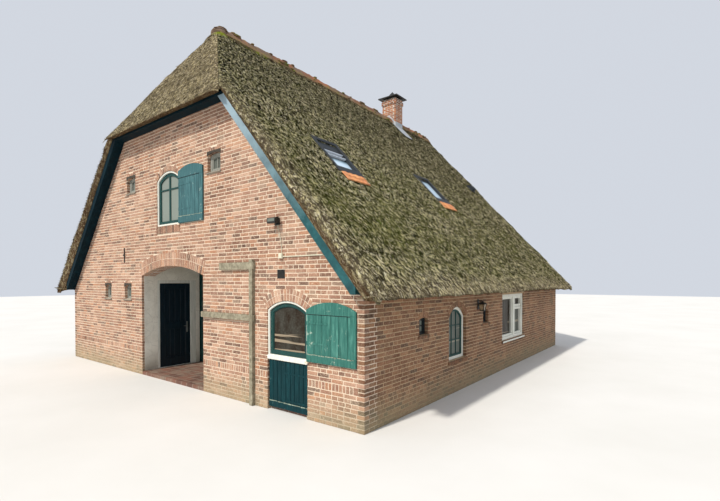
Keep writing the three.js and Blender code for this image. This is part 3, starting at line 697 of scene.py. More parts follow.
def thatch_plane(x, y):
    """Height of the roof planes, rounded over where they meet."""
    side, hip = planes(x, y)
    share = np.clip(HIP_ROUND - np.abs(side - hip), 0, None) / HIP_ROUND
    return np.minimum(side, hip) - share * share * HIP_ROUND / 4


def rounding(distance, radius, depth):
    """How far a surface falls towards its edge."""
    near = np.clip(1 - distance / radius, 0, 1)
    return depth * (1 - np.sqrt(np.clip(1 - near * near, 0, 1)))


def verge_line(x):
    """Front edge of the thatch along the verge: thin thatch reaches less far past the board."""
    thickness = planes(x, 0)[0] - slope_soffit(x) - BOARD_RISE
    return np.maximum(BEHIND_BOARD - VERGE_BULGE * np.minimum(thickness, 0.25), FRONT_VERGE + EDGE_IN)


def front_edge(x):
    """Front edge of the thatch in plan: the hip reaches forward of the verges."""
    return HIP_EDGE + (verge_line(x) - HIP_EDGE) * past_hip(x)


def course_sink(along, across):
    """How deep the courses sink below the roof plane, with their steps worn to wavy lines."""
    knots = [0.0] + [knot for top, foot in COURSES for knot in (top, top + 2 * COURSE_STEP, foot)]
    depths = [0.0] + [0.0, COURSE_SINK, 0.0] * len(COURSES)
    return np.interp(along + 0.05 * smooth_noise(across / 0.9, along / 5, 8), knots, depths)


def fitting_calm(x, y, along):
    """0 at the roof lights, their aprons and the vent, and 1 away from them."""
    calm = np.ones(np.shape(x))
    fittings = [(place, LIGHT_HALF, LIGHT_TOP, LIGHT_LENGTH + APRON_LENGTH) for place in LIGHT_PLACES]
    fittings.append((VENT_PLACE, VENT_HALF, VENT_TOP, VENT_SIZE))
    for place, half, top, length in fittings:
        aside = np.maximum(np.abs(y - place) - half, 0)
        past = np.maximum(np.maximum(top - along, along - top - length), 0)
        calm = np.minimum(calm, np.hypot(aside, past) / 0.25)
    return np.where(x > 0, np.clip(calm, 0, 1), 1)


def ridge_strip(x, y):
    """1 on the strip of reed that caps the ridge and the top of the hip, and 0 below its ragged edge."""
    side, hip = planes(x, y)
    down = np.where(hip < side, (HIP_BACK - y) * DOWN_HIP + 0.10, np.abs(x) * DOWN_SIDE)
    along = np.where(hip < side, x, y)
    ragged = 0.035 * smooth_noise(along / 0.5, np.sign(x) * 2.0, 41)
    ragged += 0.02 * smooth_noise(along / 0.13, x * 0, 42)
    return np.clip((0.44 + ragged - down) / 0.03, 0, 1)


def light_well(x, y, along):
    """How far the thatch falls away under the glass of the roof lights."""
    aside = np.min([np.abs(y - place) for place in LIGHT_PLACES], 0) < LIGHT_HALF - 0.045
    down = np.abs(along - LIGHT_TOP - LIGHT_LENGTH / 2) < LIGHT_LENGTH / 2 - 0.045
    return np.where(aside & down & (x > 0), 0.16, 0)


def thatch_top(x, y):
    """The visible top of the thatch over the planes, with its clumps and courses."""
    side, hip = planes(x, y)
    on_hip = hip < side
    along = np.where(on_hip, (y - HIP_FRONT) * DOWN_HIP, np.abs(x) * DOWN_SIDE)
    across = np.where(on_hip, x, y) + np.where(x < 0, 40.0, 0.0)
    calm = np.clip(np.abs(side - hip) / 0.35, 0.15, 1) * np.clip(np.abs(x) / 0.5 + on_hip, 0.1, 1)
    calm = calm * np.where(on_hip, 1, 0.1 + 0.9 * fitting_calm(x, y, along))
    clumps = sum(high * smooth_noise(across / wide, along / long, seed) for high, wide, long, seed in CLUMPS)
    course = along / 0.42 + 0.5 * smooth_noise(across / 0.35, along / 3, 5)
    step = 0.014 * (course - np.floor(course))
    lift = (clumps + step - 0.007) * calm - 0.006 - np.where(on_hip, 0, course_sink(along, across))
    fall = rounding(EAVE_X - EDGE_IN - np.abs(x), EAVE_ROUND, 0.05)
    fall += rounding(y - front_edge(x), VERGE_ROUND, 0.015 + 0.05 * past_hip(x))
    fall += rounding(REAR_EDGE - y, VERGE_ROUND, 0.07)
    fall += np.where(on_hip, 0, light_well(x, y, along)) - 0.028 * ridge_strip(x, y)
    steady = 0.3 + 0.7 * np.clip((y - front_edge(x)) / 0.35, 0, 1)
    return thatch_plane(x, y) + lift * np.where(on_hip, steady, 1) - fall, along, across


def verge_recess(share):
    """How far the end face of the thatch lies back from its edge, from its top at 0 to its foot at 1."""
    return np.clip((share - 0.12) / 0.88, 0, 1)


def spread(low, high, fine, coarse):
    """Distances from low to high that start and end with fine steps."""
    ends = np.cumsum(fine)
    count = round((high - low - 2 * ends[-1]) / coarse)
    middle = np.linspace(low + ends[-1], high - ends[-1], count + 1)
    return np.concatenate([[low], low + ends[:-1], middle, high - ends[-2::-1], [high]])


def slab_foot(x, y, top_z):
    """Height of a slope's underside: on the soffit over the rooms, and on the boards past the gables."""
    inside = np.abs(x) <= HALF_WIDTH
    past = np.abs(x) - HALF_WIDTH
    verge_foot = np.where(inside, slope_soffit(x) + BOARD_RISE, PLATE + BOARD_RISE - 1.1 * past)
    inner_foot = np.where(inside, slope_soffit(x), PLATE + (EAVE_Z - PLATE) * past / (EAVE_X - HALF_WIDTH))
    foot = np.where(np.abs(y) > HALF_LENGTH, np.maximum(verge_foot, inner_foot), inner_foot)
    return np.minimum(foot, top_z - 0.012)


def slab_base(x, y, foot):
    """Corners of a slope's underside, drawn back at both verges so that the end faces slant."""
    near = np.clip(1 - (y - y[:, :1]) / 0.5, 0, 1)
    far = np.clip(1 - (y[:, -1:] - y) / 0.5, 0, 1)
    front_back = np.where(y[:, :1] < BOARD_FRONT, BEHIND_BOARD - y[:, :1], 0)
    return np.dstack([x, y + front_back * near - (REAR_EDGE + BEHIND_BOARD) * far, foot])


def verge_rows(top, base, along):
    """Rows of corners down the front end face, slightly bellied and rough."""
    rows = []
    for step in range(1, VERGE_ROWS):
        share = step / VERGE_ROWS
        row = top * (1 - share) + base * share
        row[:, 1] = top[:, 1] + (base[:, 1] - top[:, 1]) * verge_recess(share)
        belly = 0.004 * math.sin(math.pi * share)
        rough = 0.006 * smooth_noise(along / 0.06, np.full(len(top), step * 1.7), 6 + step)
        row[:, 1] = np.maximum(row[:, 1] - belly + rough, row[:, 1] - 0.025)
        rows.append(row)
    return rows


def quads(low, high):
    """Faces between two rows of corner numbers."""
    return np.stack([low[:-1], low[1:], high[1:], high[:-1]], -1).reshape(-1, 4)


def slab_faces(nx, ny, keep):
    """Faces of a closed slab: its top, its end faces, and an underside with only the kept columns."""
    ends = np.cumsum([nx * ny, nx * VERGE_ROWS, nx, len(keep) * (ny - 2)])
    top, front, back, inner = np.split(np.arange(ends[-1]), ends[:-1])
    top, front = top.reshape(nx, ny), front.reshape(VERGE_ROWS, nx)
    under = np.column_stack([front[-1][keep], inner.reshape(len(keep), ny - 2), back[keep]])
    walls = np.vstack([top[:, 0], front])
    faces = [quads(top[:, j], top[:, j + 1]) for j in range(ny - 1)]
    faces += [quads(walls[r + 1], walls[r]) for r in range(VERGE_ROWS)]
    faces.append(quads(top[:, -1], back))
    for low, high, far, near in zip(keep, keep[1:], under, under[1:]):
        faces.append(quads(near[1:-1], far[1:-1]))
        faces.append(np.array([[*front[-1][low:high + 1], near[1], far[1]]]))
        faces.append(np.array([[*back[low:high + 1], near[-2], far[-2]]]))
    for end in (0, -1):
        faces.append(quads(top[end][1:], under[end][1:]))
        faces.append(np.array([[top[end][1], top[end][0], *front[:, end], under[end][1]]]))
    return faces


def side_slab(x, y, keep):
    """Points, faces and flow of a side slope on a grid in plan."""
    top_z, along, across = thatch_top(x, y)
    foot = slab_foot(x, y, top_z)
    top, base = np.dstack([x, y, top_z]), slab_base(x, y, foot)
    rows = verge_rows(top[:, 0], base[:, 0], along[:, 0])
    points = np.concatenate([top.reshape(-1, 3), *rows, base[:, 0], base[:, -1],
                             base[keep][:, 1:-1].reshape(-1, 3)])
    depth = top_z[:, 0] - foot[:, 0]
    down = [depth * step / VERGE_ROWS for step in range(1, VERGE_ROWS + 1)]
    flow = [np.concatenate([values.ravel(), *[values[:, 0] - fall * row for row in down], values[:, -1],
                            values[keep][:, 1:-1].ravel()]) for values, fall in ((across, 1), (along, 0))]
    return points, slab_faces(*x.shape, keep), np.column_stack(flow)


def reed_piece(name, look, parts, flow=None, node=None):
    """A coat of thatch, or straw where it has no flow, with the values that its look reads."""
    shape = Shape()
    for part in parts:
        shape.add(*part)
    piece = shape.object(name, look, "thatch", replaces=(node,) if node else (), smooth=50 if node else 0)
    x, y = np.concatenate(shape.points).T[:2]
    verge = np.clip(1 - (y - front_edge(x)) / 0.5, 0, 1)
    eave = np.clip(1 - (EAVE_X - np.abs(x)) / 0.35, 0, 1)
    if flow is None:
        flow = np.column_stack([y, np.abs(x) * DOWN_STRAW])
    write_values(piece.data, "flow", np.column_stack([flow, np.maximum(verge, eave)]))
    write_values(piece.data, "ridge", ridge_strip(x, y))


def straw_places(count, rng, side):
    """Roots of straw in plan, and the ways down and across, on a slope or, where side is 0, on the hip."""
    if side:
        x = side * EAVE_X * rng.random(count) ** 0.9 * 0.992
        y = rng.uniform(FRONT_VERGE + 0.05, REAR_VERGE - 0.05, count)
        keep = (y > hip_line(x) + 0.02) & (np.abs(x) > 0.12) & (y > verge_line(x) + 0.03)
        keep &= (fitting_calm(x, y, np.abs(x) * DOWN_SIDE) > 0.12) & (ridge_strip(x, y) < 0.5)
        down, across = np.array((side, 0.0, -TOP_SLOPE)), np.array((0.0, 1.0, 0.0))
    else:
        y = rng.uniform(HIP_EDGE + 0.03, HIP_BACK, count)
        x = rng.uniform(-HIP_HALF, HIP_HALF, count)
        keep = np.abs(x) < hip_half(y) - 0.03
        down, across = np.array((0.0, -1.0, -HIP_SLOPE)), np.array((1.0, 0.0, 0.0))
    return x[keep], y[keep], down / np.linalg.norm(down), across


def straw(count, rng, side):
    """Loose straw: a spike each, with its root in the thatch."""
    x, y, down, across = straw_places(count, rng, side)
    normal = np.cross(across, down)
    normal *= np.sign(normal[2])
    root = np.column_stack([x, y, thatch_top(x, y)[0]])
    turn = rng.normal(0, 0.38, len(x))
    length = rng.uniform(0.04, 0.13, len(x))
    heading = np.cos(turn)[:, None] * down + np.sin(turn)[:, None] * across
    lift = rng.uniform(0.002, 0.022, len(x))[:, None] * normal
    return spikes(root - 0.012 * normal, heading * length[:, None] + lift + 0.012 * normal,
                  rng.uniform(0.005, 0.012, len(x)), normal, rng)


def spikes(root, reach, width, normal, rng):
    """Closed thin spikes: three corners at the root and one at the tip."""
    across = np.cross(reach, normal)
    across /= np.linalg.norm(across, axis=1, keepdims=True)
    base = [root + across * width[:, None], root - across * width[:, None],
            root + normal * width[:, None] * 1.3]
    points = np.stack([*base, root + reach], 1)
    points[..., 0] = np.clip(points[..., 0], -EAVE_X + 0.002, EAVE_X - 0.002)
    points[..., 1] = np.clip(points[..., 1], HIP_FRONT + 0.002, REAR_VERGE - 0.002)
    faces = np.array([(0, 2, 1), (0, 1, 3), (1, 2, 3), (2, 0, 3)])
    faces = (faces[None] + 4 * np.arange(len(root))[:, None, None]).reshape(-1, 3)
    return points, [faces], np.repeat(rng.random(len(root)), 4)


def verge_fringe(rng, side):
    """Straw ends along the verge of one slope."""
    count = VERGE_STRAWS
    x = side * rng.uniform(HIP_HALF - 0.04, EAVE_X - 0.06, count)
    share = rng.random(count)
    edge = verge_line(x)
    y = edge + (BEHIND_BOARD - edge) * verge_recess(share) + 0.012
    top = thatch_top(x, edge)[0]
    foot = np.maximum(slope_soffit(x) + BOARD_RISE + 0.03, EAVE_Z)
    root = np.column_stack([x, y, top + (foot - top) * share])
    root[:, 2] = np.minimum(root[:, 2], top - 0.01)
    length = rng.uniform(0.018, 0.055, count) * (1 - 0.85 * share)
    drop = rng.uniform(-0.01, 0.03, count) * (1 - 0.9 * share)
    reach = np.column_stack([side * rng.uniform(-0.01, 0.05, count), -length, -drop])
    return spikes(root, reach, rng.uniform(0.003, 0.007, count), np.array((side * 0.7, 0, 0.7)), rng)


def eave_fringe(rng, side):
    """Straw ends along the eave of one slope."""
    count = EAVE_STRAWS
    y = rng.uniform(FRONT_VERGE + 0.03, REAR_VERGE - 0.04, count)
    depth = rng.random(count) ** 1.4
    x = side * (EAVE_X - 0.07 - 0.25 * depth)
    root = np.column_stack([x, y, EAVE_Z + 0.02 - 0.03 * depth])
    reach = np.column_stack([side * rng.uniform(0.01, 0.075, count), rng.uniform(-0.02, 0.02, count),
                             -rng.uniform(0.0, 0.05, count) * np.clip((y - FRONT_VERGE) / 0.7, 0.0, 1)])
    return spikes(root, reach, rng.uniform(0.003, 0.007, count), np.array((0.0, 1.0, 0.1)), rng)


def hip_fringe(rng):
    """Straw ends along the front edge of the hip."""
    count = HIP_EDGE_STRAWS
    half = hip_half(HIP_EDGE)
    x = rng.uniform(-half + 0.10, half - 0.03, count)
    y = HIP_EDGE + 0.015 + 0.07 * rng.random(count)
    root = np.column_stack([x, y, HIP_EDGE_FOOT + 0.012 + 0.3 * (y - HIP_EDGE)])
    reach = np.column_stack([rng.uniform(-0.02, 0.02, count), -rng.uniform(0.0, 0.05, count),
                             -rng.uniform(0.0, 0.03, count)])
    return spikes(root, reach, rng.uniform(0.003, 0.006, count), np.array((1.0, 0.1, 0.1)), rng)


def thatch_look(name, tan):
    """Old reed: pale straw ends over dark gaps of painted shade, with lichen and moss, and undersides in
    painted shade; the hip is dry and tan.
    """
    look = Look(name, Roughness=1.0, Specular_IOR_Level=0.03)
    flow = look.attribute("flow", "Vector")
    edge = look.part(flow, 2)
    streak = look.noise(1.0, look.stretch((17, 9, 0), flow), detail=4, roughness=0.75, distortion=0.7)
    left_dash = look.noise(1.0, look.stretch((30, 13, 0), flow, (0, 0, 0.5)), detail=2, roughness=0.5)
    right_dash = look.noise(1.0, look.stretch((28, 12, 0), flow, (0, 0, -0.45)), detail=2, roughness=0.5)
    clump = look.noise(1.0, look.stretch((5, 3.5, 0), flow), detail=5, roughness=0.7, distortion=0.6)
    # Painted shade: the dark end of this ramp and the dark dashes below stand for the shade in the gaps
    # between the straws
    look.base(streak, [(0.43, "070703"), (0.475, "232213"), (0.505, "514f31"), (0.54, "969066"),
                       (0.59, "dfd4aa")])
    look.coat(look.mask(look.calc("MAXIMUM", left_dash, right_dash), 0.61, 0.66), "e8e0c6")
    look.coat(look.mask(look.calc("MINIMUM", left_dash, right_dash), 0.385, 0.34), "131109")
    look.stain(look.mask(clump, 0.50, 0.36), "5c5a40", 0.75)

    high = look.mask(look.plus(look.axis(2), look.times(clump, 1.6)), 4.6, 7.4)
    green = look.mask(look.noise(0.8, detail=6, roughness=0.7), 0.40, 0.60)
    green = look.times(green, look.calc("SUBTRACT", 0.9, look.calc("MAXIMUM", edge, high)))
    look.stain(green, "8f9450", 0.65)
    look.coat(green, "6a7230", 0.22)
    moss = look.mask(look.noise(5.5, detail=6, roughness=0.75), 0.60, 0.68)
    look.coat(look.times(moss, look.calc("SUBTRACT", 0.6, edge)), "5f7020")
    look.stain(high, "93948a", 0.8, 0.0 if tan else 0.85)
    bare = look.mask(look.noise(1.1, detail=5, roughness=0.65), 0.52, 0.64)
    look.coat(look.times(bare, look.plus(0.25, look.times(high, 0.35))), "4f4a36")
    look.stain(0.5 if tan else 0.3, "c8b8a0" if tan else "d2d0b8", 1.0)
    look.stain(look.mask(look.axis(1), -3.5, 3.0), "8d8a62", 0.8, 0.55)

    ridge = look.attribute("ridge")
    look.coat(ridge, "5a4634", 0.8, 0.55)
    patch = look.times(look.mask(look.noise(3.4, detail=6, roughness=0.7), 0.49, 0.56), ridge)
    look.coat(look.times(patch, look.mask(look.axis(1), -2.0, -3.2)), "7c8a20", 0.75)
    look.coat(look.calc("MAXIMUM", look.times(edge, 0.85), 0.75 if tan else 0.0), "a8957c", 0.55, 0.5)
    look.coat(look.mask(look.attribute("tint"), 0.55, 1.0), "ddd0ae", 0.7)
    look.coat(look.mask(look.attribute("tint"), 0.35, 0.0), "1c1a10", 0.8)
    # Painted shade: faces that look down, on the undersides of the eaves, verges and hip, are coated dark
    # brown
    facing = look.part(look.node("NewGeometry").outputs["Normal"], 2)
    under = look.times(look.mask(facing, 0.0, -0.35), look.mask(look.attribute("tint"), 0.9, 0.6))
    look.coat(under, "5f422c", 0.85, 0.6)
    look.bump(streak, 0.05)
    look.bump(left_dash, 0.02)
    look.bump(right_dash, 0.02)
    return look.done()


def build_thatch():
    rng = np.random.default_rng(23)
    fine = np.array([0.012, 0.022, 0.03, 0.036])
    across = spread(0.0, EAVE_X - EDGE_IN, np.array([0.02, 0.024, 0.026]), 0.0285)
    back = spread(0.0, REAR_EDGE - FRONT_VERGE - EDGE_IN, fine, 0.052)
    keep = [0, int(np.searchsorted(across, HALF_WIDTH)), len(across) - 8, len(across) - 1]
    start = np.maximum(hip_line(across), verge_line(across))[:, None]
    for side, name, count in ((1, "right", RIGHT_STRAWS), (-1, "left", LEFT_STRAWS)):
        x = np.repeat(side * across[:, None], len(back), 1)
        y = start + (REAR_EDGE - start) * (back / back[-1])
        points, faces, flow = side_slab(x, y, keep)
        reed_piece(f"thatch_coat_{name}", "thatch", [(points, faces)], flow, f"thatch_{name}")
        reed_piece(f"straw_{name}", "thatch", [straw(count, rng, side)])
        reed_piece(f"straw_edge_{name}", "thatch", [verge_fringe(rng, side), eave_fringe(rng, side)])
    share = np.linspace(-1, 1, 121)
    y = np.repeat((HIP_EDGE + spread(0.0, HIP_BACK - HIP_EDGE - 0.01, fine, 0.026))[None], len(share), 0)
    points, faces, flow = hip_slab(share[:, None] * hip_half(y), y)
    reed_piece("thatch_coat_hip", "hip_thatch", [(points, faces)], flow, "thatch_hip")
    reed_piece("straw_hip", "hip_thatch", [straw(HIP_STRAWS, rng, 0), hip_fringe(rng)])


def hip_slab(x, y):
    """Points, faces and flow of the hip: a top and an underside on the same grid, joined round the edge."""
    top_z, along, across = thatch_top(x, y)
    under = (HIP_BOARD_TOP + 0.005 - HIP_EDGE_FOOT) / (BOARD_FRONT - HIP_EDGE)
    foot = np.where(y < BOARD_FRONT, HIP_EDGE_FOOT + under * (y - HIP_EDGE), HIP_BOARD_TOP + 0.005)
    inside = np.clip(y + HALF_LENGTH - 0.1, 0, None)
    foot = np.where(y > -HALF_LENGTH + 0.06, HIP_SOFFIT + 0.01 + inside * HIP_SLOPE, foot)
    foot = np.minimum(foot, top_z - 0.012)
    points = np.concatenate([np.dstack([x, y, z]).reshape(-1, 3) for z in (top_z, foot)])
    top = np.arange(x.size).reshape(x.shape)
    base = top + x.size
    faces = [np.stack([grid[:-1, :-1], grid[1:, :-1], grid[1:, 1:], grid[:-1, 1:]], -1).reshape(-1, 4)
             for grid in (top, base[:, ::-1])]
    faces += [quads(b, a) for a, b in ((top[:, 0], base[:, 0]), (base[:, -1], top[:, -1]), (base[0], top[0]),
                                       (top[-1], base[-1]))]
    return points, faces, np.column_stack([np.tile(across.ravel(), 2), np.tile(along.ravel(), 2)])


# Joinery
def flat(u0, u1, bottom, top):
    """A plain oblong in wall axes."""
    return Opening((u0 + u1) / 2, (u1 - u0) / 2, bottom, top, 0)


def frame_ring(shape, opening, inset, width, back, front, foot=0.0, cut=0.004):
    """A frame round an opening: inset from its edge, so wide, with chamfered front arrises."""
    inner = inset + width
    loops = [opening.outline(reach, base, w) for reach, base, w in (
        (inset, foot, back), (inset, foot, front - cut), (inset + cut, foot + cut, front),
        (inner - cut, foot + width - cut, front), (inner, foot + width, front - cut),
        (inner, foot + width, back))]
    shape.loft(loops, ring=True)


def arch_slab(shape, opening, low, high, foot, back, front, cut=0.004, tint=0.5, steps=6):
    """A board between two u, from its foot up to the head of an opening."""
    loops = []
    for w, c in ((back, cut / 2), (back + cut / 2, 0), (front - cut, 0), (front, cut)):
        u = np.linspace(high - c, low + c, steps)
        head = opening.head(u) - c
        loops.append([(low + c, foot + c, w), (high - c, foot + c, w), *zip(u, head, [w] * steps)])
    shape.loft(loops, tint=tint)


def pane(shape, opening, inset, w, thickness=0.006, foot=0.0, tint=0.5):
    loops = [opening.outline(inset, foot, w - thickness), opening.outline(inset, foot, w)]
    shape.loft(loops, tint=tint)


def bars(shape, u, v, low, high, back, front, width=0.018, upright=True):
    """A glazing bar centred on u (upright) or v (level), from low to high."""
    half = width / 2
    if upright:
        shape.block((u - half, low, back), (u + half, high, front))
    else:
        shape.block((low, v - half, back), (high, v + half, front))


def boarded(shape, opening, count, foot, back, front, rng, gap=0.003, cut=0.005):
    """Upright boards side by side under the head of an opening."""
    edges = np.linspace(opening.u - opening.half, opening.u + opening.half, count + 1)
    edges[1:-1] += rng.normal(0, 0.004, count - 1)
    for low, high in zip(edges[:-1], edges[1:]):
        face = front + rng.uniform(-0.0012, 0.0)
        arch_slab(shape, opening, low + gap / 2, high - gap / 2, foot, back, face, cut, rng.random())


def stud(shape, u, v, w, size=0.009, rise=0.004, tint=0.5):
    """The head of a nail or bolt."""
    turn = np.linspace(0, 2 * math.pi, 9)[:-1]
    dome = ((size, -0.003), (size, rise * 0.4), (size * 0.75, rise * 0.85), (size * 0.3, rise))
    loops = [[(u + r * math.cos(a), v + r * math.sin(a), w + z) for a in turn] for r, z in dome]
    shape.loft(loops, tint=tint)


def tube(shape, path, radius, sides=8, tint=0.5):
    """A round bar along a path of points in the axes of the shape's wall."""
    path = shape.place(path)
    heading = np.gradient(path, axis=0)
    heading /= np.linalg.norm(heading, axis=1, keepdims=True)
    guide = np.array((0.31, 0.23, 0.92)) if abs(heading[0] @ UP) < 0.9 else np.array((0.92, 0.31, 0.23))
    side = np.cross(heading, guide)
    side /= np.linalg.norm(side, axis=1, keepdims=True)
    other = np.cross(heading, side)
    turn = np.linspace(0, 2 * math.pi, sides + 1)[:-1]
    radius = np.broadcast_to(radius, len(path))
    loops = path[:, None] + radius[:, None, None] * (
        np.cos(turn)[None, :, None] * side[:, None] + np.sin(turn)[None, :, None] * other[:, None])
    shape.skin(loops, tint=tint)


def hinge_strap(shape, u, v, length, w, tint=0.5):
    """A tapered strap hinge from its eye at u, with its studs and a spear end."""
    side = 1 if length > 0 else -1
    eye, tip = u, u + length
    half = [(eye, 0.018), (u + 0.75 * length, 0.012), (u + 0.9 * length, 0.018), (tip, 0.002)]
    outline = [(a, v - b) for a, b in half] + [(a, v + b) for a, b in reversed(half)]
    outline = outline[::side]
    loops = [[(a, b, depth) for a, b in outline] for depth in (w, w + 0.004)]
    shape.loft(loops, tint=tint)
    for share in (0.15, 0.45, 0.75):
        stud(shape, u + share * length, v, w + 0.004, 0.006, 0.003, tint)
    tube(shape, [(u, v - 0.028, w - 0.002), (u, v + 0.028, w - 0.002)], 0.008, 8, tint)


def worn_edge(name, body, low, high, v, back, front, rng):
    """Bare patches along the upper edge of a batten, where water has lifted the paint."""
    shape = Shape(FRONT)
    u = low
    while u < high - 0.02:
        length = min(rng.uniform(0.015, 0.08), high - u)
        rise = rng.uniform(0.001, 0.006)
        foot = v - rng.uniform(0.003, 0.012)
        shape.block((u, foot, back - 0.001), (u + length, v + rise, front + 0.0012), 0.0005, rng.random())
        u += length + rng.uniform(-0.01, 0.02)
    shape.object(name, "bare", "green_paint", body)


# Depths of a shutter's parts in front of the wall: rear boards, a dark sheet of painted shade, boards,
# battens
SHUTTER_REAR = (0.0078, 0.012)
SHUTTER_SHADE_SHEET = (0.0115, 0.0145)
SHUTTER_BOARDS = (0.014, 0.028)
SHUTTER_FRONT = 0.038


def shutter_backs(node, opening, head, look):
    """A dark sheet of painted shade behind the gaps between the boards and under the head board, and the
    boards at the back.
    """
    low, high = opening.u - opening.half, opening.u + opening.half
    face = SHUTTER_BOARDS[1]
    shade_sheet = Shape(FRONT)
    # Painted shade: a dark sheet behind the gaps between the boards
    arch_slab(shade_sheet, opening, low + 0.006, high - 0.006, opening.bottom + 0.006, *SHUTTER_SHADE_SHEET, 0.001,
              steps=14)
    # Painted shadow: a dark strip along the foot of the head board
    arch_slab(shade_sheet, flat(low, high, 0, head), low + 0.004, high - 0.004, head - 0.009, face - 0.002,
              face + 0.001, 0.0005)
    shade_sheet.object(f"{node}_boards_shade_sheet", "dark", "green_paint", f"{node}_leaf")
    rear = Shape(FRONT)
    boarded(rear, opening, 6, opening.bottom, *SHUTTER_REAR, np.random.default_rng(6), 0.006, 0.002)
    rear.object(f"{node}_boards_rear", look, "green_paint", f"{node}_leaf")


def shutter(node, opening, head, batten, look, rng):
    """An arched shutter of upright boards with a head board, a foot batten and two straps."""
    shape = Shape(FRONT)
    body, name = f"{node}_leaf", f"{node}_boards"
    face, front = SHUTTER_BOARDS[1], SHUTTER_FRONT
    low, high = opening.u - opening.half, opening.u + opening.half
    boarded(shape, opening, 6, opening.bottom, *SHUTTER_BOARDS, rng, 0.005)
    shutter_backs(node, opening, head, look)
    arch_slab(shape, opening, low + 0.002, high - 0.002, head, face, front, 0.004, 0.75, 14)
    worn_edge(f"{name}_wear", body, low + 0.01, high - 0.01, batten, face, front, rng)
    foot = flat(low + 0.004, high - 0.004, opening.bottom + 0.006, batten)
    arch_slab(shape, foot, foot.u - foot.half, foot.u + foot.half, foot.bottom, face, front, 0.004, 0.9)
    edge = flat(high - 0.105, high - 0.001, batten, head)
    arch_slab(shape, edge, edge.u - edge.half, edge.u + edge.half, batten + 0.002, face, front - 0.002,
              0.004, 0.6)
    for v in (head + 0.03, (opening.bottom + batten) / 2):
        for u in np.linspace(low + 0.08, high - 0.08, 6):
            stud(shape, u, v + rng.normal(0, 0.006), front, 0.007, 0.003, 0.2)
    for v in (opening.bottom + 0.28, head - 0.13):
        hinge_strap(shape, low + 0.012, v, 0.42, face, 0.3)
    shape.object(name, look, "green_paint", body, (node,))


def painted_look(name, paint, worn, wear, roughness=0.45, grain=9.0, shine=0.3):
    """Brushed paint on boards, faded in streaks and worn to wood or an older coat at edges."""
    look = Look(name, Specular_IOR_Level=shine)
    streak = look.noise(1.0, look.stretch((grain * 4, grain * 4, grain * 0.35)), detail=5, roughness=0.7)
    look.base(streak, list(zip((0.3, 0.55, 0.75), paint)))
    shade = look.calc("SUBTRACT", look.attribute("tint"), 0.5)
    look.coat(look.calc("ABSOLUTE", shade), paint[0], 0.8)
    flaked = look.noise(7.5, detail=7, roughness=0.8)
    look.coat(look.mask(flaked, wear, wear + 0.06), worn, 0.8)
    look.rough(streak, roughness - 0.08, roughness + 0.2)
    look.bump(streak, 0.0015)
    look.bump(look.mask(flaked, wear + 0.06, wear), 0.0006)
    return look.done()


def board_look(name, paint, worn, sky_reflection):
    """Painted board, sound near its foot, with a painted pale sky reflection laid on it high up."""
    look = Look(name, Specular_IOR_Level=0.4)
    grain = look.noise(1.0, look.stretch((4, 4, 4)), detail=5, roughness=0.7)
    look.base(grain, list(zip((0.35, 0.5, 0.65), paint)))
    level = look.plus(look.axis(2), look.times(grain, 1.4))
    # Painted reflection: the pale blue of the sky, laid on above about 3.6 m by height and grain
    look.coat(look.mask(level, 3.6, 5.6), sky_reflection, 0.8)
    look.coat(look.mask(look.noise(30, detail=6, roughness=0.8), 0.62, 0.7), worn, 0.5)
    look.rough(grain, 0.3, 0.55)
    look.bump(look.noise(1.0, look.stretch((6, 60, 60)), detail=4), 0.001)
    return look.done()


def window_look(name, dark, pale):
    """Old window glass, painted dark brown for the shaded room behind it: pale mottling, painted slanting
    pale reflections, a painted pale reflection by its tint, ripples and dust.
    """
    look = Look(name, Specular_IOR_Level=0.04, IOR=1.45)
    look.colour = dark
    room = look.noise(3.5, look.stretch((1, 1, 0.5)), detail=4)
    look.coat(look.mask(room, 0.42, 0.62), pale, blend=0.10)
    # Painted reflections: pale slanting streaks below about 1.3 m
    slant = look.noise(1.0, look.stretch((0.5, 0.5, 17), turn=(0, 0.13, 0)), detail=2, distortion=0.1)
    look.coat(look.times(look.mask(slant, 0.585, 0.62), look.mask(look.axis(2), 1.30, 1.24)), "b5a48c", 0.6)
    # Painted reflection: the pale colour laid on as strongly as the tint of the glass
    look.coat(look.attribute("tint"), pale)
    dust = look.noise(34, detail=5, roughness=0.7)
    look.coat(look.mask(dust, 0.5, 0.8), "a5a99f", 0.12)
    look.rough(dust, 0.03, 0.16)
    look.bump(look.noise(2.2, look.stretch((1, 1, 0.6)), detail=3, distortion=0.8), 0.004, 0.5)
    return look.done()


# Depths of a small window's parts behind the face of its wall, back and front
FRAME_DEPTH = (-0.13, -0.06)
SASH_DEPTH = (-0.118, -0.072)
BAR_DEPTH = (-0.108, -0.078)
CROSS_BAR_DEPTH = (-0.107, -0.08)
PANE_DEPTH = -0.094


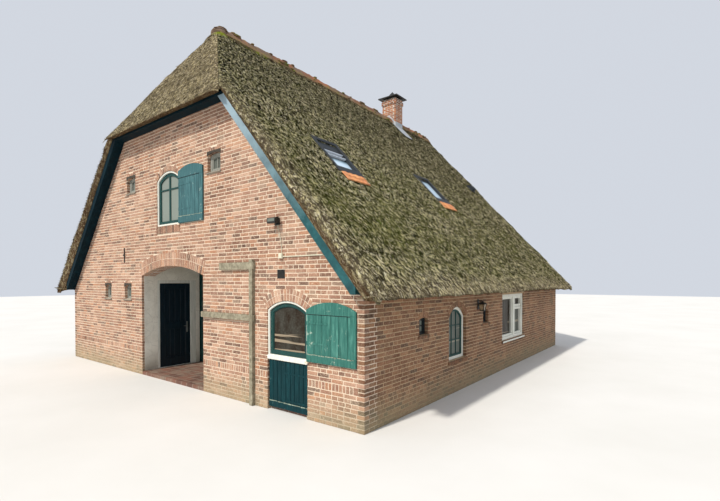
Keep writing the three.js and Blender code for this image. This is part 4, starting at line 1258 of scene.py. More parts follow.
def plain_window(wall, opening, node, look, bars_across, bars_up, shade, slot="white_paint",
                 green_sash=False):
    """A closed window: outer frame, sash, glazing bars and glass, set back in its reveal."""
    name = node.replace("window", "frame")
    width = min(0.055, opening.half * 0.22)
    shape, glass = Shape(wall), Shape(wall)
    frame_ring(shape, opening, 0.003, width, *FRAME_DEPTH)
    inner = 0.003 + width
    leaf = Shape(wall) if green_sash else shape
    rail = width * 0.75
    frame_ring(leaf, opening, inner - 0.006, rail, *SASH_DEPTH, inner - 0.009)
    clear = inner + rail - 0.008
    low, high = opening.u - opening.half + clear, opening.u + opening.half - clear
    foot, head = opening.bottom + clear, opening.spring + opening.rise - clear
    for index in range(bars_up):
        u = low + (high - low) * (index + 1) / (bars_up + 1)
        top = float(opening.head(np.array([u]))[0]) - clear + 0.004
        bars(leaf, u, 0, foot - 0.004, top, *BAR_DEPTH)
    for index in range(bars_across):
        v = foot + (head - foot) * (index + 1) / (bars_across + 1)
        bars(leaf, 0, v, low - 0.004, high + 0.004, *CROSS_BAR_DEPTH, upright=False)
    # The shade is the share of painted pale reflection on the glass
    pane(glass, opening, clear - 0.006, PANE_DEPTH, foot=clear - 0.009, tint=shade)
    shape.object(name, look, slot, replaces=(node,))
    if green_sash:
        leaf.object(f"{name}_sash", "leaf", "green_paint")
    glass.object(f"{name}_glass", "glass", "glass")


def sill_board(shape, opening, height, proud):
    """A projecting sill with a sloped top."""
    low, high = opening.u - opening.half - 0.02, opening.u + opening.half + 0.02
    top, foot = opening.bottom + 0.004, opening.bottom - height
    section = [(-0.058, foot), (proud - 0.004, foot), (proud, foot + 0.005), (proud, top - 0.016),
               (-0.058, top)]
    shape.loft([[(u, v, w) for w, v in section] for u in (low, high)])


def build_windows():
    # The small front frames are white paint greyed for the shade of their deep reveals: painted shade
    for opening, side in zip(LOW_WINDOWS, SIDES):
        plain_window(FRONT, opening, f"low_window_{side}", "shaded_frame", 0, 1, 0.55)
    for opening, side in zip(LOFT_WINDOWS, SIDES):
        plain_window(FRONT, opening, f"loft_window_{side}", "shaded_frame", 0, 1, 0.35)
    for opening, place in zip(SIDE_WINDOWS, PLACES):
        plain_window(RIGHT, opening, f"side_window_{place}", "dark", 1, 1, 0.6, "dark_paint")
    plain_window(RIGHT, SIDE_ARCH, "side_window_arched", "white", 2, 2, 0.45, green_sash=True)
    for opening, side in zip(REAR_WINDOWS, SIDES):
        plain_window(REAR, opening, f"rear_window_{side}", "white", 1, 1, 0.25)
    plain_window(REAR, REAR_UPPER, "rear_window_upper", "white", 1, 1, 0.25, green_sash=True)
    wide_window(RIGHT, WIDE_WINDOW, "wide_window")
    wide_window(LEFT, LEFT_WINDOW, "left_window")

    sills = Shape(FRONT)
    for opening in (*LOW_WINDOWS, *LOFT_WINDOWS):
        sill_board(sills, opening, 0.035, 0.028)
    sills.object("front_sills", "sill", "white_paint")


def wide_window(wall, opening, node):
    """Two lights beside a mullion; the right one has a small vent above a transom."""
    name = node.replace("window", "frame")
    shape, glass = Shape(wall), Shape(wall)
    frame_ring(shape, opening, 0.003, 0.07, -0.13, -0.02)
    u0, u1 = opening.u - opening.half + 0.073, opening.u + opening.half - 0.073
    foot, head = opening.bottom + 0.07, opening.spring - 0.073
    mullion = opening.u + 0.115
    shape.block((mullion - 0.06, foot - 0.01, -0.125), (mullion + 0.06, head + 0.01, -0.022), 0.005)
    # The last value of each light is the share of painted pale reflection on its glass
    lights = [(u0, mullion - 0.06, foot, head, 0.0), (mullion + 0.06, u1, foot, head - 0.27, 0.3),
              (mullion + 0.06, u1, head - 0.24, head, 0.0)]
    shape.block((mullion + 0.04, head - 0.275, -0.12), (u1 + 0.01, head - 0.235, -0.066), 0.004)
    for low, high, below, above, shade in lights:
        light = flat(low, high, below, above)
        frame_ring(shape, light, -0.003, 0.05, -0.115, -0.045, -0.003)
        pane(glass, light, 0.042, -0.092, foot=0.042, tint=shade)
    sill_board(shape, opening, 0.05, 0.035)
    shape.object(name, "white", "white_paint", replaces=(node,))
    glass.object(f"{name}_glass", "glass", "glass")


def stable_window():
    """The window over the stable door: white outer frame and sill band with a green casement."""
    stable = Opening(STABLE.u, STABLE.half, 0.889, STABLE.spring, STABLE.rise)
    shape = Shape(FRONT)
    frame_ring(shape, stable, 0.003, 0.034, -0.10, -0.012, -0.04)
    shape.block((stable.u - 0.449, 0.815, -0.10), (stable.u + 0.449, 0.889, -0.018), 0.004)
    shape.block((stable.u - 0.470, 0.812, -0.03), (stable.u + 0.452, 0.878, 0.004), 0.006)
    shape.object("stable_frame", "white", "white_paint", replaces=("stable_window_frame",))
    casement = Shape(FRONT)
    frame_ring(casement, stable, 0.034, 0.062, -0.092, -0.04, 0.003)
    frame_ring(casement, stable, 0.090, 0.016, -0.085, -0.05, 0.060)
    casement.object("stable_casement", "leaf", "green_paint")
    glass = Shape(FRONT)
    pane(glass, stable, 0.100, -0.061, 0.008, 0.070, 0.0)
    glass.object("stable_glass", "glass", "glass", replaces=("stable_window_glass",))


def upper_window():
    """The window under the half hip: white outer frame, green casements and bars."""
    shape = Shape(FRONT)
    frame_ring(shape, UPPER, 0.003, 0.036, -0.10, -0.012)
    shape.object("upper_frame", "white", "white_paint", replaces=("upper_window_frame",))
    casement = Shape(FRONT)
    frame_ring(casement, UPPER, 0.036, 0.064, -0.092, -0.038, 0.033)
    bars(casement, 0, UPPER.bottom + 0.74, UPPER.u - 0.35, UPPER.u + 0.35, -0.088, -0.044, 0.028, False)
    bars(casement, UPPER.u, 0, UPPER.bottom + 0.09, UPPER.spring + 0.08, -0.088, -0.042, 0.05)
    casement.object("upper_casement", "leaf", "green_paint")
    glass = Shape(FRONT)
    # The tint of the glass is its share of painted pale reflection
    pane(glass, UPPER, 0.092, -0.061, 0.008, 0.092, 0.75)
    glass.object("upper_glass", "glass", "glass", replaces=("upper_window_glass",))


def build_shutters():
    rng = np.random.default_rng(5)
    ground = Opening.around(FRONT, "ground_shutter", 0.12, fit=0)
    shutter("ground_shutter", ground, 1.577, 0.985, "shutter", rng)
    upper = Opening.around(FRONT, "upper_shutter", 0.09, fit=0)
    shutter("upper_shutter", upper, 4.08, 3.33, "upper_shutter", rng)


def build_stable_leaf():
    rng = np.random.default_rng(9)
    u0, u1, v0, v1 = FRONT.reach("stable_door_leaf")
    face, front = -0.022, -0.016
    leaf = flat(u0, u1, v0, v1)
    shape = Shape(FRONT)
    boarded(shape, leaf, 9, v0, -0.06, face, rng, 0.006)
    batten = flat(u0 + 0.004, u1 - 0.004, v0 + 0.004, 0.15)
    arch_slab(shape, batten, u0 + 0.004, u1 - 0.004, v0 + 0.004, face, front, 0.003, 0.8)
    worn_edge("stable_leaf_wear", "stable_leaf", u0 + 0.01, u1 - 0.01, 0.15, face, front, rng)
    for v in (0.19, 0.62):
        hinge_strap(shape, u1 - 0.014, v, -0.5, face, 0.3)
    shape.object("stable_leaf_boards", "half_door", "green_paint", "stable_leaf", ("stable_door_leaf",))


# Recess and entrance
RECESS_LEFT = Wall((-RECESS.half, 0, 0), (0, 1, 0))
RECESS_RIGHT = Wall((RECESS.half, 0, 0), (0, -1, 0))
RECESS_BACK = Wall((0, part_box("barn_doors")[0].y, 0), (1, 0, 0))
DOORWAY = flat(-4.696, -3.942, 0.082, 2.008)
DOOR_FACE = -0.010
JOINERY = (-4.752, -3.80)
JOINERY_TOP = 2.075
SKIN = 0.006


def entrance_joinery():
    """The side wall of white boards around the entrance door."""
    left, right = DOORWAY.u - DOORWAY.half, DOORWAY.u + DOORWAY.half
    shape = Shape(RECESS_LEFT)
    shape.block((JOINERY[0], FLOOR_TOP, -0.10), (left, JOINERY_TOP, 0.004), 0.005)
    shape.block((right, FLOOR_TOP, -0.10), (JOINERY[1], JOINERY_TOP, 0.004), 0.005)
    shape.block((left, DOORWAY.spring, -0.10), (right, JOINERY_TOP, 0.004), 0.005)
    shape.block((left, FLOOR_TOP, -0.10), (right, DOORWAY.bottom, 0.0), 0.003)
    shape.object("entrance_joinery", "white", "white_paint", replaces=("entrance_frame",))


def recess_plaster():
    """Plaster skins on both side walls of the recess, around the joinery on the left one."""
    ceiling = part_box("entrance_frame")[1].z
    plaster = Shape(RECESS_LEFT)
    plaster.block((-HALF_LENGTH + 0.05, FLOOR_TOP, -0.004), (-4.80, 2.20, SKIN), 0.003)
    plaster.block((-4.80, FLOOR_TOP, -0.10), (JOINERY[0], ceiling, SKIN), 0.003)
    plaster.block((JOINERY[0], JOINERY_TOP, -0.10), (-3.702, ceiling, SKIN), 0.003)
    plaster.block((JOINERY[1], FLOOR_TOP, -0.10), (-3.702, JOINERY_TOP, SKIN), 0.003)
    plaster.wall = RECESS_RIGHT
    plaster.block((4.80, FLOOR_TOP, -0.004), (HALF_LENGTH - 0.05, 2.20, SKIN), 0.003)
    plaster.object("recess_plaster", "plaster", "plaster")


def entrance_door(rng):
    """A framed door with two boarded panels."""
    door = Shape(RECESS_LEFT)
    u0, u1, v0, v1 = RECESS_LEFT.reach("entrance_door")
    deep, stile, middle = -0.055, 0.11, 1.02
    door.block((u0, v0, deep), (u0 + stile, v1, DOOR_FACE), 0.004)
    door.block((u1 - stile, v0, deep), (u1, v1, DOOR_FACE), 0.004)
    for low, high in ((v0, v0 + 0.2), (middle - 0.07, middle + 0.07), (v1 - 0.12, v1)):
        door.block((u0 + stile, low, deep), (u1 - stile, high, DOOR_FACE), 0.004)
    for low, high in ((v0 + 0.2, middle - 0.07), (middle + 0.07, v1 - 0.12)):
        field = flat(u0 + stile - 0.004, u1 - stile + 0.004, low - 0.004, high + 0.004)
        boarded(door, field, 4, field.bottom, deep + 0.008, DOOR_FACE - 0.014, rng, 0.002)
        frame_ring(door, field, 0.002, 0.018, DOOR_FACE - 0.016, DOOR_FACE - 0.003, 0.002)
    door.object("entrance_door_panels", "door", "dark_paint", "entrance_leaf", ("entrance_door",))


def entrance_handle():
    """A lever on a long plate with two screws and a keyhole."""
    handle = Shape(RECESS_LEFT)
    u1, v0, v1 = RECESS_LEFT.reach("entrance_handle")[1:]
    u, half = u1 - 0.022, 0.021
    arch_slab(handle, flat(u - half, u + half, v0, v1), u - half, u + half, v0, DOOR_FACE, DOOR_FACE + 0.004,
              0.002)
    lever = [(0, 0.994, 0), (0, 0.994, 0.026), (-0.006, 0.994, 0.036), (-0.02, 0.994, 0.038),
             (-0.105, 0.992, 0.036)]
    lever = [(u + du, v, DOOR_FACE + w) for du, v, w in lever]
    tube(handle, lever, [0.009, 0.009, 0.009, 0.0085, 0.0065], 10)
    for v in (v0 + 0.015, v1 - 0.015):
        stud(handle, u, v, DOOR_FACE + 0.004, 0.004, 0.0015)
    stud(handle, u, 0.90, DOOR_FACE + 0.004, 0.008, 0.002)
    handle.object("entrance_lever", "steel", "dark_metal", "entrance_leaf", ("entrance_handle",))


def barn_doors(rng):
    """Two closed boarded doors with three ledges each and a cover strip between them."""
    barn = Shape(RECESS_BACK)
    u0, u1, v0, v1 = RECESS_BACK.reach("barn_doors")
    for low, high in ((u0, -0.004), (0.004, u1)):
        boarded(barn, flat(low, high, v0 + 0.01, v1), 8, v0 + 0.01, -0.06, -0.02, rng)
        for v in (0.25, 1.2, 2.15):
            barn.block((low + 0.03, v, -0.021), (high - 0.03, v + 0.14, -0.002), 0.004)
    barn.block((-0.03, v0 + 0.01, -0.022), (0.03, v1, 0.0), 0.004)
    barn.object("barn_door_boards", "leaf", "dark_paint", replaces=("barn_doors",))


def build_recess():
    rng = np.random.default_rng(13)
    entrance_joinery()
    recess_plaster()
    entrance_door(rng)
    entrance_handle()
    barn_doors(rng)


# Ridge
RIDGE_REACH = 0.2
RIDGE_DROP = 0.232
RIDGE_CURVE = 1.6


def ridge_section(reach, crown, thickness):
    """Outer and inner outline of a ridge tile across the ridge, as x and height over the ridge line."""
    turn = np.linspace(-1, 1, 9)
    outer = np.column_stack([reach * turn, crown - RIDGE_DROP * np.abs(turn) ** RIDGE_CURVE])
    inner = outer[::-1] * (1 - thickness / reach, 1) - (0, thickness)
    return np.concatenate([outer, inner])


# Sections of a ridge tile, each with its place from an end of the tile, its reach and its crown
TILE_FRONT = ((0.004, 0.192, 0.030), (0.010, 0.198, 0.036))
TILE_LAP = ((-0.055, 0.190, 0.030), (-0.050, 0.200, 0.041), (-0.008, 0.200, 0.041), (-0.003, 0.194, 0.034))


def ridge_tiles(name, node, low, high, rng):
    """Rounded tiles laid along a stretch of the ridge, each lapping over the next one."""
    shape = Shape()
    count = round((high - low) / 0.36)
    pitch = (high - low) / count
    for index in range(count):
        start, stop = low + index * pitch, low + (index + 1) * pitch
        drop, tilt, shift = rng.normal(-0.004, 0.004), rng.normal(0, 0.006), rng.normal(0, 0.004)
        sections = [(start + y, reach, crown) for y, reach, crown in TILE_FRONT]
        sections += [(stop + y, reach, crown) for y, reach, crown in TILE_LAP]
        loops = []
        for y, reach, crown in sections:
            outline = ridge_section(reach, crown + drop, 0.016)
            z = RIDGE_Z + outline[:, 1] + tilt * outline[:, 0]
            loops.append(np.column_stack([outline[:, 0] + shift, np.full(len(z), y), z]))
        shape.loft(loops, tint=rng.random())
    shape.object(name, "ridge", "ridge_tile", replaces=(node,), smooth=35)


def bedding_strip(shape, y, side):
    """Rough mortar along one edge of the ridge tiles."""
    wave = 0.014 * smooth_noise(y / 0.11, np.full(len(y), 3.0 * side + 9), 31)
    thick = 0.024 + 0.008 * smooth_noise(y / 0.07, np.full(len(y), 5.0 * side + 9), 32)
    inner, outer = 0.150 + wave * 0.3, 0.215 + wave
    middle = (inner + outer) / 2
    ring = [(inner, 0.012), (inner + 0.012, 0.012 + thick), (middle, 0.016 + thick * 0.8), (outer, 0.004),
            (middle, -0.03)]
    loops = [np.column_stack([side * x, y, RIDGE_Z - TOP_SLOPE * x + lift]) for x, lift in ring]
    shape.loft(np.stack(loops, 1)[:, ::side])


def ridge_bedding(rng):
    """Mortar along both edges of the ridge tiles, with lumps of moss grown into it."""
    shape = Shape()
    for low, high in ((-4.00, STACK_FRONT - 0.005), (STACK_BACK + 0.005, HALF_LENGTH + 0.44)):
        y = np.arange(low, high, 0.045)
        y[-1] = high
        for side in (-1, 1):
            bedding_strip(shape, y, side)
    lumps = [rng.uniform(*stretch) for stretch in ((-4.0, 2.85, 60), (3.4, 5.4, 16), (-4.0, -3.2, 14))]
    for y in np.concatenate(lumps):
        side = rng.choice([-1, 1])
        x = side * rng.uniform(0.02, 0.23)
        size = rng.uniform(0.025, 0.06)
        z = RIDGE_Z + 0.036 - RIDGE_DROP * (abs(x) / RIDGE_REACH) ** RIDGE_CURVE
        blob(shape, (x, y, z), (size, size * rng.uniform(1, 2.2), size * 0.5), rng, rng.random())
    shape.object("ridge_bedding", "bedding", "ridge_tile", smooth=50)


def blob(shape, centre, size, rng, tint=0.5, rings=6, sides=9):
    """A rounded lump with an uneven surface."""
    turn = np.linspace(0, 2 * math.pi, sides + 1)[:-1]
    loops = []
    for angle in np.linspace(-0.96, 0.96, rings) * math.pi / 2:
        reach = math.cos(angle) * rng.uniform(0.82, 1.15, sides)
        loops.append(np.column_stack([reach * np.cos(turn), reach * np.sin(turn),
                                      np.full(sides, math.sin(angle))]) * size + centre)
    shape.loft(loops, tint=tint)


def build_ridge():
    rng = np.random.default_rng(41)
    front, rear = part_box("ridge_tiles_front"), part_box("ridge_tiles_rear")
    ridge_tiles("ridge_row_front", "ridge_tiles_front", front[0].y + 0.08, front[1].y, rng)
    ridge_tiles("ridge_row_rear", "ridge_tiles_rear", rear[0].y, rear[1].y - 0.02, rng)
    ridge_bedding(rng)
    shape = Shape()
    blob(shape, (0, front[0].y + 0.15, RIDGE_Z - 0.075), (0.13, 0.19, 0.09), rng, 0.3, 10, 20)
    blob(shape, (0.01, front[0].y + 0.10, RIDGE_Z - 0.14), (0.18, 0.17, 0.09), rng, 0.6, 8, 18)
    shape.object("ridge_cap", "cap", "ridge_tile", smooth=50)


# Chimney
def chimney_walls():
    """Front, right, rear and left face of the stack."""
    middle = (STACK_FRONT + STACK_BACK) / 2
    depth = (STACK_BACK - STACK_FRONT) / 2
    return [Wall((0, STACK_FRONT, 0), (1, 0, 0), STACK_HALF),
            Wall((STACK_HALF, middle, 0), (0, 1, 0), depth),
            Wall((0, STACK_BACK, 0), (-1, 0, 0), STACK_HALF),
            Wall((-STACK_HALF, middle, 0), (0, -1, 0), depth)]


def chimney_bricks():
    rng = np.random.default_rng(47)
    shape = Shape()
    low = 7.0
    rows = round((STACK_TOP - low) / COURSE)
    size = (STACK_TOP - low) / rows
    for number, wall in enumerate(chimney_walls()):
        shape.wall = wall
        for row in range(rows):
            v = low + row * size
            through = row % 2 == number % 2
            proud = STACK_LIP + 0.004 if STACK_BAND[0] <= v + size / 2 <= STACK_BAND[1] else PROUD
            edge = wall.half + proud if through else wall.half + proud - HEADER - JOINT
            left, right = course_cuts(-edge, edge, BRICK + JOINT, 0.055 if row % 2 else -0.06, 0.05)
            back = np.full(len(left), -BED)
            back[[0, -1]] = -0.06 if through else -BED
            lay(shape, oblongs(left, right, v, v + size - 0.012), rng, back, proud, 0.005)
    shape.object("chimney_bricks", "chimney", "chimney_brick", smooth=0)
    repaint("chimney_stack", "chimney_mortar")


def chimney_lead():
    """Lead on the front and left face of the stack, and flaps on the thatch in front of it."""
    front, left = chimney_walls()[::3]
    shape = Shape(front)
    for ends in ((-0.276, 0.0), (0.0, 0.276)):
        foot = [(u, RIDGE_Z - TOP_SLOPE * abs(u)) for u in ends]
        outline = foot + [(u, v + LEAD_HEIGHT) for u, v in reversed(foot)]
        shape.loft([[(u, v, w) for u, v in outline] for w in (0.004, 0.010)])
    shape.wall = left
    foot = RIDGE_Z - TOP_SLOPE * STACK_HALF
    shape.block((-0.222, foot - 0.01, 0.004), (0.222, foot + LEAD_HEIGHT, 0.010))
    shape.wall = None
    corners = [(0.21, -0.11), (0.62, -0.10), (0.62, 0.01), (0.21, 0)]
    for side in (-1, 1):
        shape.loft([[(side * x, STACK_FRONT + y, RIDGE_Z - TOP_SLOPE * x + lift) for x, y in corners][::side]
                    for lift in (0.012, 0.020)])
    shape.object("chimney_lead", "lead", "lead")


def build_chimney():
    chimney_bricks()
    chimney_lead()
    soften("chimney_flashing", 0.004)
    repaint("chimney_flashing", "lead")
    soften("chimney_cap", 0.006)
    repaint("chimney_cap", "metal")


def soften(node, width):
    """A small bevel on a carried-over CAD node."""
    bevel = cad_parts[node].modifiers.new("bevel", "BEVEL")
    bevel.width = width
    bevel.segments = 2
    bevel.limit_method = "ANGLE"
    bevel.angle_limit = math.radians(30)


# Bargeboards
def front_board(name, node, outline, look):
    """A boxed board in front of the gable, on an outline in the axes of the front wall."""
    shape = Shape(FRONT)
    shape.loft([[(u, v, w) for u, v in outline] for w in (0.0004, -HALF_LENGTH - BOARD_FRONT)])
    piece = shape.object(name, look, "green_paint", replaces=(node,))
    bevel = piece.modifiers.new("arrises", "BEVEL")
    bevel.width = 0.006
    bevel.segments = 2


def board_reach(v):
    """How far out the underside of a verge board is at a height."""
    return HALF_WIDTH - (v - PLATE) / SOFFIT_SLOPE


def board_nails(side, name, look, rng):
    shape = Shape(FRONT)
    for x in np.arange(2.45, 4.85, 0.34):
        for lift in (0.05, 0.115):
            u = side * (x + rng.normal(0, 0.01))
            v = PLATE + SOFFIT_SLOPE * (HALF_WIDTH - abs(u)) + lift
            stud(shape, u, v, -HALF_LENGTH - BOARD_FRONT, 0.007, 0.003, 0.4)
    shape.object(name, look, "green_paint")


def build_boards():
    # The left, hip and rear boards take a darker copy of the board paint, which is painted shade
    for side, node, look, foot in ((1, "bargeboard_right", "board", PLATE + 0.097),
                                   (-1, "bargeboard_left", "board_shaded", PLATE + 0.03)):
        outline = [(board_reach(HIP_BOX), HIP_BOX), (board_reach(foot), foot), (HALF_WIDTH, foot),
                   (HALF_WIDTH, PLATE + BOARD_RISE), (board_reach(HIP_BOX - BOARD_RISE), HIP_BOX)]
        outline = [(side * u, v) for u, v in outline][::side]
        front_board(node.replace("barge", "verge_"), node, outline, look)
    low, high = board_reach(HIP_BOX - BOARD_RISE) - 0.002, board_reach(HIP_BOARD_TOP - BOARD_RISE)
    outline = [(low, HIP_BOX + 0.001), (high, HIP_BOARD_TOP), (-high, HIP_BOARD_TOP),
               (-low, HIP_BOX + 0.001)]
    front_board("hip_board", "bargeboard_hip", outline, "board_shaded")
    soften("bargeboard_rear", 0.006)
    repaint("bargeboard_rear", "board_shaded")
    rng = np.random.default_rng(53)
    board_nails(1, "board_nails_right", "board", rng)
    board_nails(-1, "board_nails_left", "board_shaded", rng)


# Roof lights and the roof vent
def slope_pane(shape, u0, u1, v0, v1, back, front, shades):
    """A pane on the slope with a row of vertices for each shade, from its foot to its head."""
    rows = np.linspace(v0, v1, len(shades))
    loops = np.array([[(u0, v, back), (u1, v, back), (u1, v, front), (u0, v, front)] for v in rows])
    shape.loft(loops, tint=np.repeat(shades, 4))


# Roof lights: shades of the glass from foot to head, high for a painted sky reflection and low for painted
# shade, length of the blind at the head, places of pale strips
FRONT_SHADE = ((0.95, 0.95, 0.95, 0.9, 0.4, 0.1, 0.05, 0.02), 0.22, (0.34, 0.46))
REAR_SHADE = ((0.95, 0.95, 0.95, 0.9, 0.9, 0.85, 0.8, 0.7), 0.06, ())


def roof_light(name, node, place, shades, blind, strips):
    """A roof light sunk in the thatch: sheet lining, frame, a dark blind box at its head, sash and glass."""
    low, high = place - LIGHT_HALF, place + LIGHT_HALF
    head, foot = -LIGHT_TOP, -LIGHT_TOP - LIGHT_LENGTH
    top = head - 0.05
    shape = Shape(SLOPE)
    body = flat(low + 0.004, high - 0.004, foot + 0.004, head - 0.004)
    frame_ring(shape, body, 0.0, 0.048, -0.12, 0.004, 0.0, 0.006)
    frame_ring(shape, body, 0.044, 0.018, -0.12, -0.030, 0.044, 0.004)
    shape.block((low + 0.05, top - blind, -0.12), (high - 0.05, top, -0.030), 0.012)
    shape.block((low + 0.01, foot + 0.006, -0.05), (high - 0.01, foot + 0.16, 0.010), 0.008)
    for u in (low + 0.035, high - 0.035):
        for v, w in ((head - 0.03, 0.004), (foot + 0.03, 0.010)):
            stud(shape, u, v, w, 0.006, 0.003)
    shape.object(name, "sheet", "dark_metal", replaces=(node,))
    glass = Shape(SLOPE)
    # The rows of the glass carry a painted sky reflection towards the foot and painted shade under the blind
    slope_pane(glass, low + 0.06, high - 0.06, foot + 0.12, top - blind + 0.01, -0.085, -0.055, shades)
    glass.object(f"{name}_glass", "roof_glass", "glass", smooth=0)
    if strips:
        metal = Shape(SLOPE)
        for down in strips:
            v = head - down
            metal.block((low + 0.055, v - 0.013, -0.06), (high - 0.055, v + 0.013, -0.018), 0.004)
        metal.object(f"{name}_strips", "strip", "dark_metal")
    collar = Shape(SLOPE)
    frame_ring(collar, flat(low - 0.03, high + 0.03, foot, head + 0.035), 0, 0.036, -0.05, 0.006, 0, 0.004)
    collar.object(f"{name}_collar", "sheet", "dark_metal")


def apron(name, node, place, rng):
    """Two rows of small curved tiles below a roof light."""
    shape = Shape(SLOPE)
    top = -LIGHT_TOP - LIGHT_LENGTH - 0.006
    count = 4
    width = 2 * APRON_HALF / count
    row_length = (APRON_LENGTH - 0.01) / 2
    turn = np.linspace(-1, 1, 7)
    for row in (1, 0):
        start = top - row * row_length
        foot = start - row_length
        head_lift = 0.006 + 0.004 * row
        for index in range(count):
            u = place - APRON_HALF + (index + 0.5) * width + rng.normal(0, 0.002)
            loops = []
            for v, lift in ((foot - 0.012, 0.022), (foot - 0.006, 0.027), (start - 0.004, head_lift + 0.004),
                            (start, head_lift)):
                outer = [(u + t * width * 0.49, v, lift - 0.018 * t * t + 0.008) for t in turn]
                inner = [(u + t * width * 0.46, v, lift - 0.018 * t * t - 0.006) for t in turn[::-1]]
                loops.append(outer + inner)
            shape.loft(loops, tint=rng.random())
    bed = flat(place - APRON_HALF + 0.004, place + APRON_HALF - 0.004, top - APRON_LENGTH + 0.012, top)
    frame_ring(shape, bed, 0, 0.14, -0.02, 0.008, 0.0, 0.003)
    shape.object(name, "apron", "ridge_tile", replaces=(node,), smooth=35)


def roof_vent():
    """A sheet vent on the slope: a sloping hood with slots over a flat collar."""
    shape = Shape(SLOPE)
    low, high = VENT_PLACE - VENT_HALF, VENT_PLACE + VENT_HALF
    head, foot = -VENT_TOP, -VENT_TOP - VENT_SIZE
    shape.block((low, foot, -0.03), (high, head, 0.014), 0.005)
    section = [(head - 0.02, 0.010), (foot + 0.03, 0.010), (foot + 0.02, 0.085), (foot + 0.05, 0.115),
               (head - 0.11, 0.118), (head - 0.03, 0.05)]
    loops = [[(u, v, w) for v, w in section] for u in (low + 0.03, high - 0.03)]
    shape.loft(loops)
    for step in range(4):
        w = 0.030 + 0.015 * step
        shape.block((low + 0.045, foot + 0.014, w), (high - 0.045, foot + 0.026, w + 0.006), 0.002)
    shape.object("roof_vent_hood", "sheet", "dark_metal", replaces=("roof_vent",), smooth=25)


def build_roof_fittings():
    rng = np.random.default_rng(59)
    for place, side, shade in zip(LIGHT_PLACES, ("front", "rear"), (FRONT_SHADE, REAR_SHADE)):
        roof_light(f"roof_light_frame_{side}", f"roof_light_{side}", place, *shade)
    for place, side in zip(LIGHT_PLACES, ("front", "rear")):
        apron(f"apron_tiles_{side}", f"roof_light_apron_{side}", place, rng)
    roof_vent()


# Fittings on the walls
LANTERN_U = -1.24
LANTERN_OUT = 0.10
# Half width and height of the squares from which the lantern's parts are lofted
LANTERN_ROOF = ((0.062, 1.588), (0.070, 1.592), (0.070, 1.598), (0.048, 1.618), (0.022, 1.636),
                (0.014, 1.650))
LANTERN_BASE = ((0.030, 1.452), (0.044, 1.456), (0.048, 1.466), (0.044, 1.474))
LANTERN_GLASS = ((0.037, 1.472), (0.055, 1.590))
LANTERN_POST = ((0.040, 1.470), (0.058, 1.592))


def lantern_square(half, v, du=0.0, dw=0.0):
    """A level square around the lantern's axis, moved by du along the wall and dw out of it."""
    u, w = LANTERN_U + du, LANTERN_OUT + dw
    return [(u - half, v, w - half), (u + half, v, w - half), (u + half, v, w + half),
            (u - half, v, w + half)]


def build_lantern():
    shape, glass = Shape(RIGHT), Shape(RIGHT)
    u = LANTERN_U
    shape.block((u - 0.04, 1.48, 0.0005), (u + 0.04, 1.69, 0.012), 0.005)
    for v in (1.505, 1.665):
        stud(shape, u, v, 0.012, 0.009, 0.005)
    arm = [(u, 1.56, 0.010), (u, 1.60, 0.032), (u, 1.648, 0.055), (u, 1.662, 0.08), (u, 1.650, 0.100)]
    tube(shape, arm, 0.008)
    tube(shape, [(u, 1.66, 0.012), (u, 1.665, 0.045), (u, 1.662, 0.08)], 0.006)
    for outline in (LANTERN_ROOF, LANTERN_BASE):
        shape.loft([lantern_square(half, v) for half, v in outline])
    for a in (-1, 1):
        for b in (-1, 1):
            shape.loft([lantern_square(0.005, v, a * reach, b * reach) for reach, v in LANTERN_POST])
    glass.loft([lantern_square(half, v) for half, v in LANTERN_GLASS])
    shape.object("lantern_frame", "metal", "dark_metal", replaces=("wall_lantern",))
    glass.object("lantern_glass", "amber", "glass")


def build_flood_light():
    """A finned case on a bracket, with its pane facing out."""
    shape, glass = Shape(FRONT), Shape(FRONT)
    u = 3.25
    shape.block((u - 0.05, 2.94, 0.0005), (u + 0.05, 3.03, 0.028), 0.006)
    shape.block((u - 0.016, 2.96, 0.02), (u + 0.016, 3.0, 0.06), 0.005)
    section = [(0.048, 2.995), (0.060, 2.966), (0.140, 2.962), (0.150, 2.975), (0.146, 3.045),
               (0.075, 3.058)]
    shape.loft([[(a, v, w) for w, v in section] for a in (u - 0.094, u - 0.088, u + 0.088, u + 0.094)])
    for step in range(7):
        a = u - 0.075 + 0.025 * step
        shape.block((a - 0.003, 2.985, 0.030), (a + 0.003, 3.052, 0.072), 0.001)
    # The glass look lays half its painted pale reflection on this pane
    glass.block((u - 0.078, 2.980, 0.1465), (u + 0.078, 3.036, 0.1492), 0.001)
    shape.object("flood_light_body", "metal", "dark_metal", replaces=("flood_light",))
    glass.object("flood_light_glass", "glass", "glass", smooth=0)


def wall_anchor():
    """An upright iron bar with a cross bar, on the end of a floor beam."""
    shape = Shape(FRONT)
    shape.block((-1.995, 2.49, 0.004), (-1.965, 2.82, 0.020), 0.004)
    shape.block((-2.01, 2.635, 0.004), (-1.95, 2.675, 0.030), 0.005)
    shape.object("wall_anchor", "metal", "dark_metal")


def air_grille():
    """A slotted plate in a rim, over the vent hole."""
    shape = Shape(FRONT)
    frame_ring(shape, flat(3.239, 3.404, 2.104, 2.240), -0.004, 0.014, 0.0, 0.009)
    shape.block((3.24, 2.105, 0.0003), (3.403, 2.239, 0.0020), 0.0005, tint=0.0)
    for u in np.linspace(3.262, 3.381, 6):
        shape.block((u - 0.004, 2.112, 0.001), (u + 0.004, 2.232, 0.007), 0.001)
    shape.object("air_grille", "metal", "dark_metal")


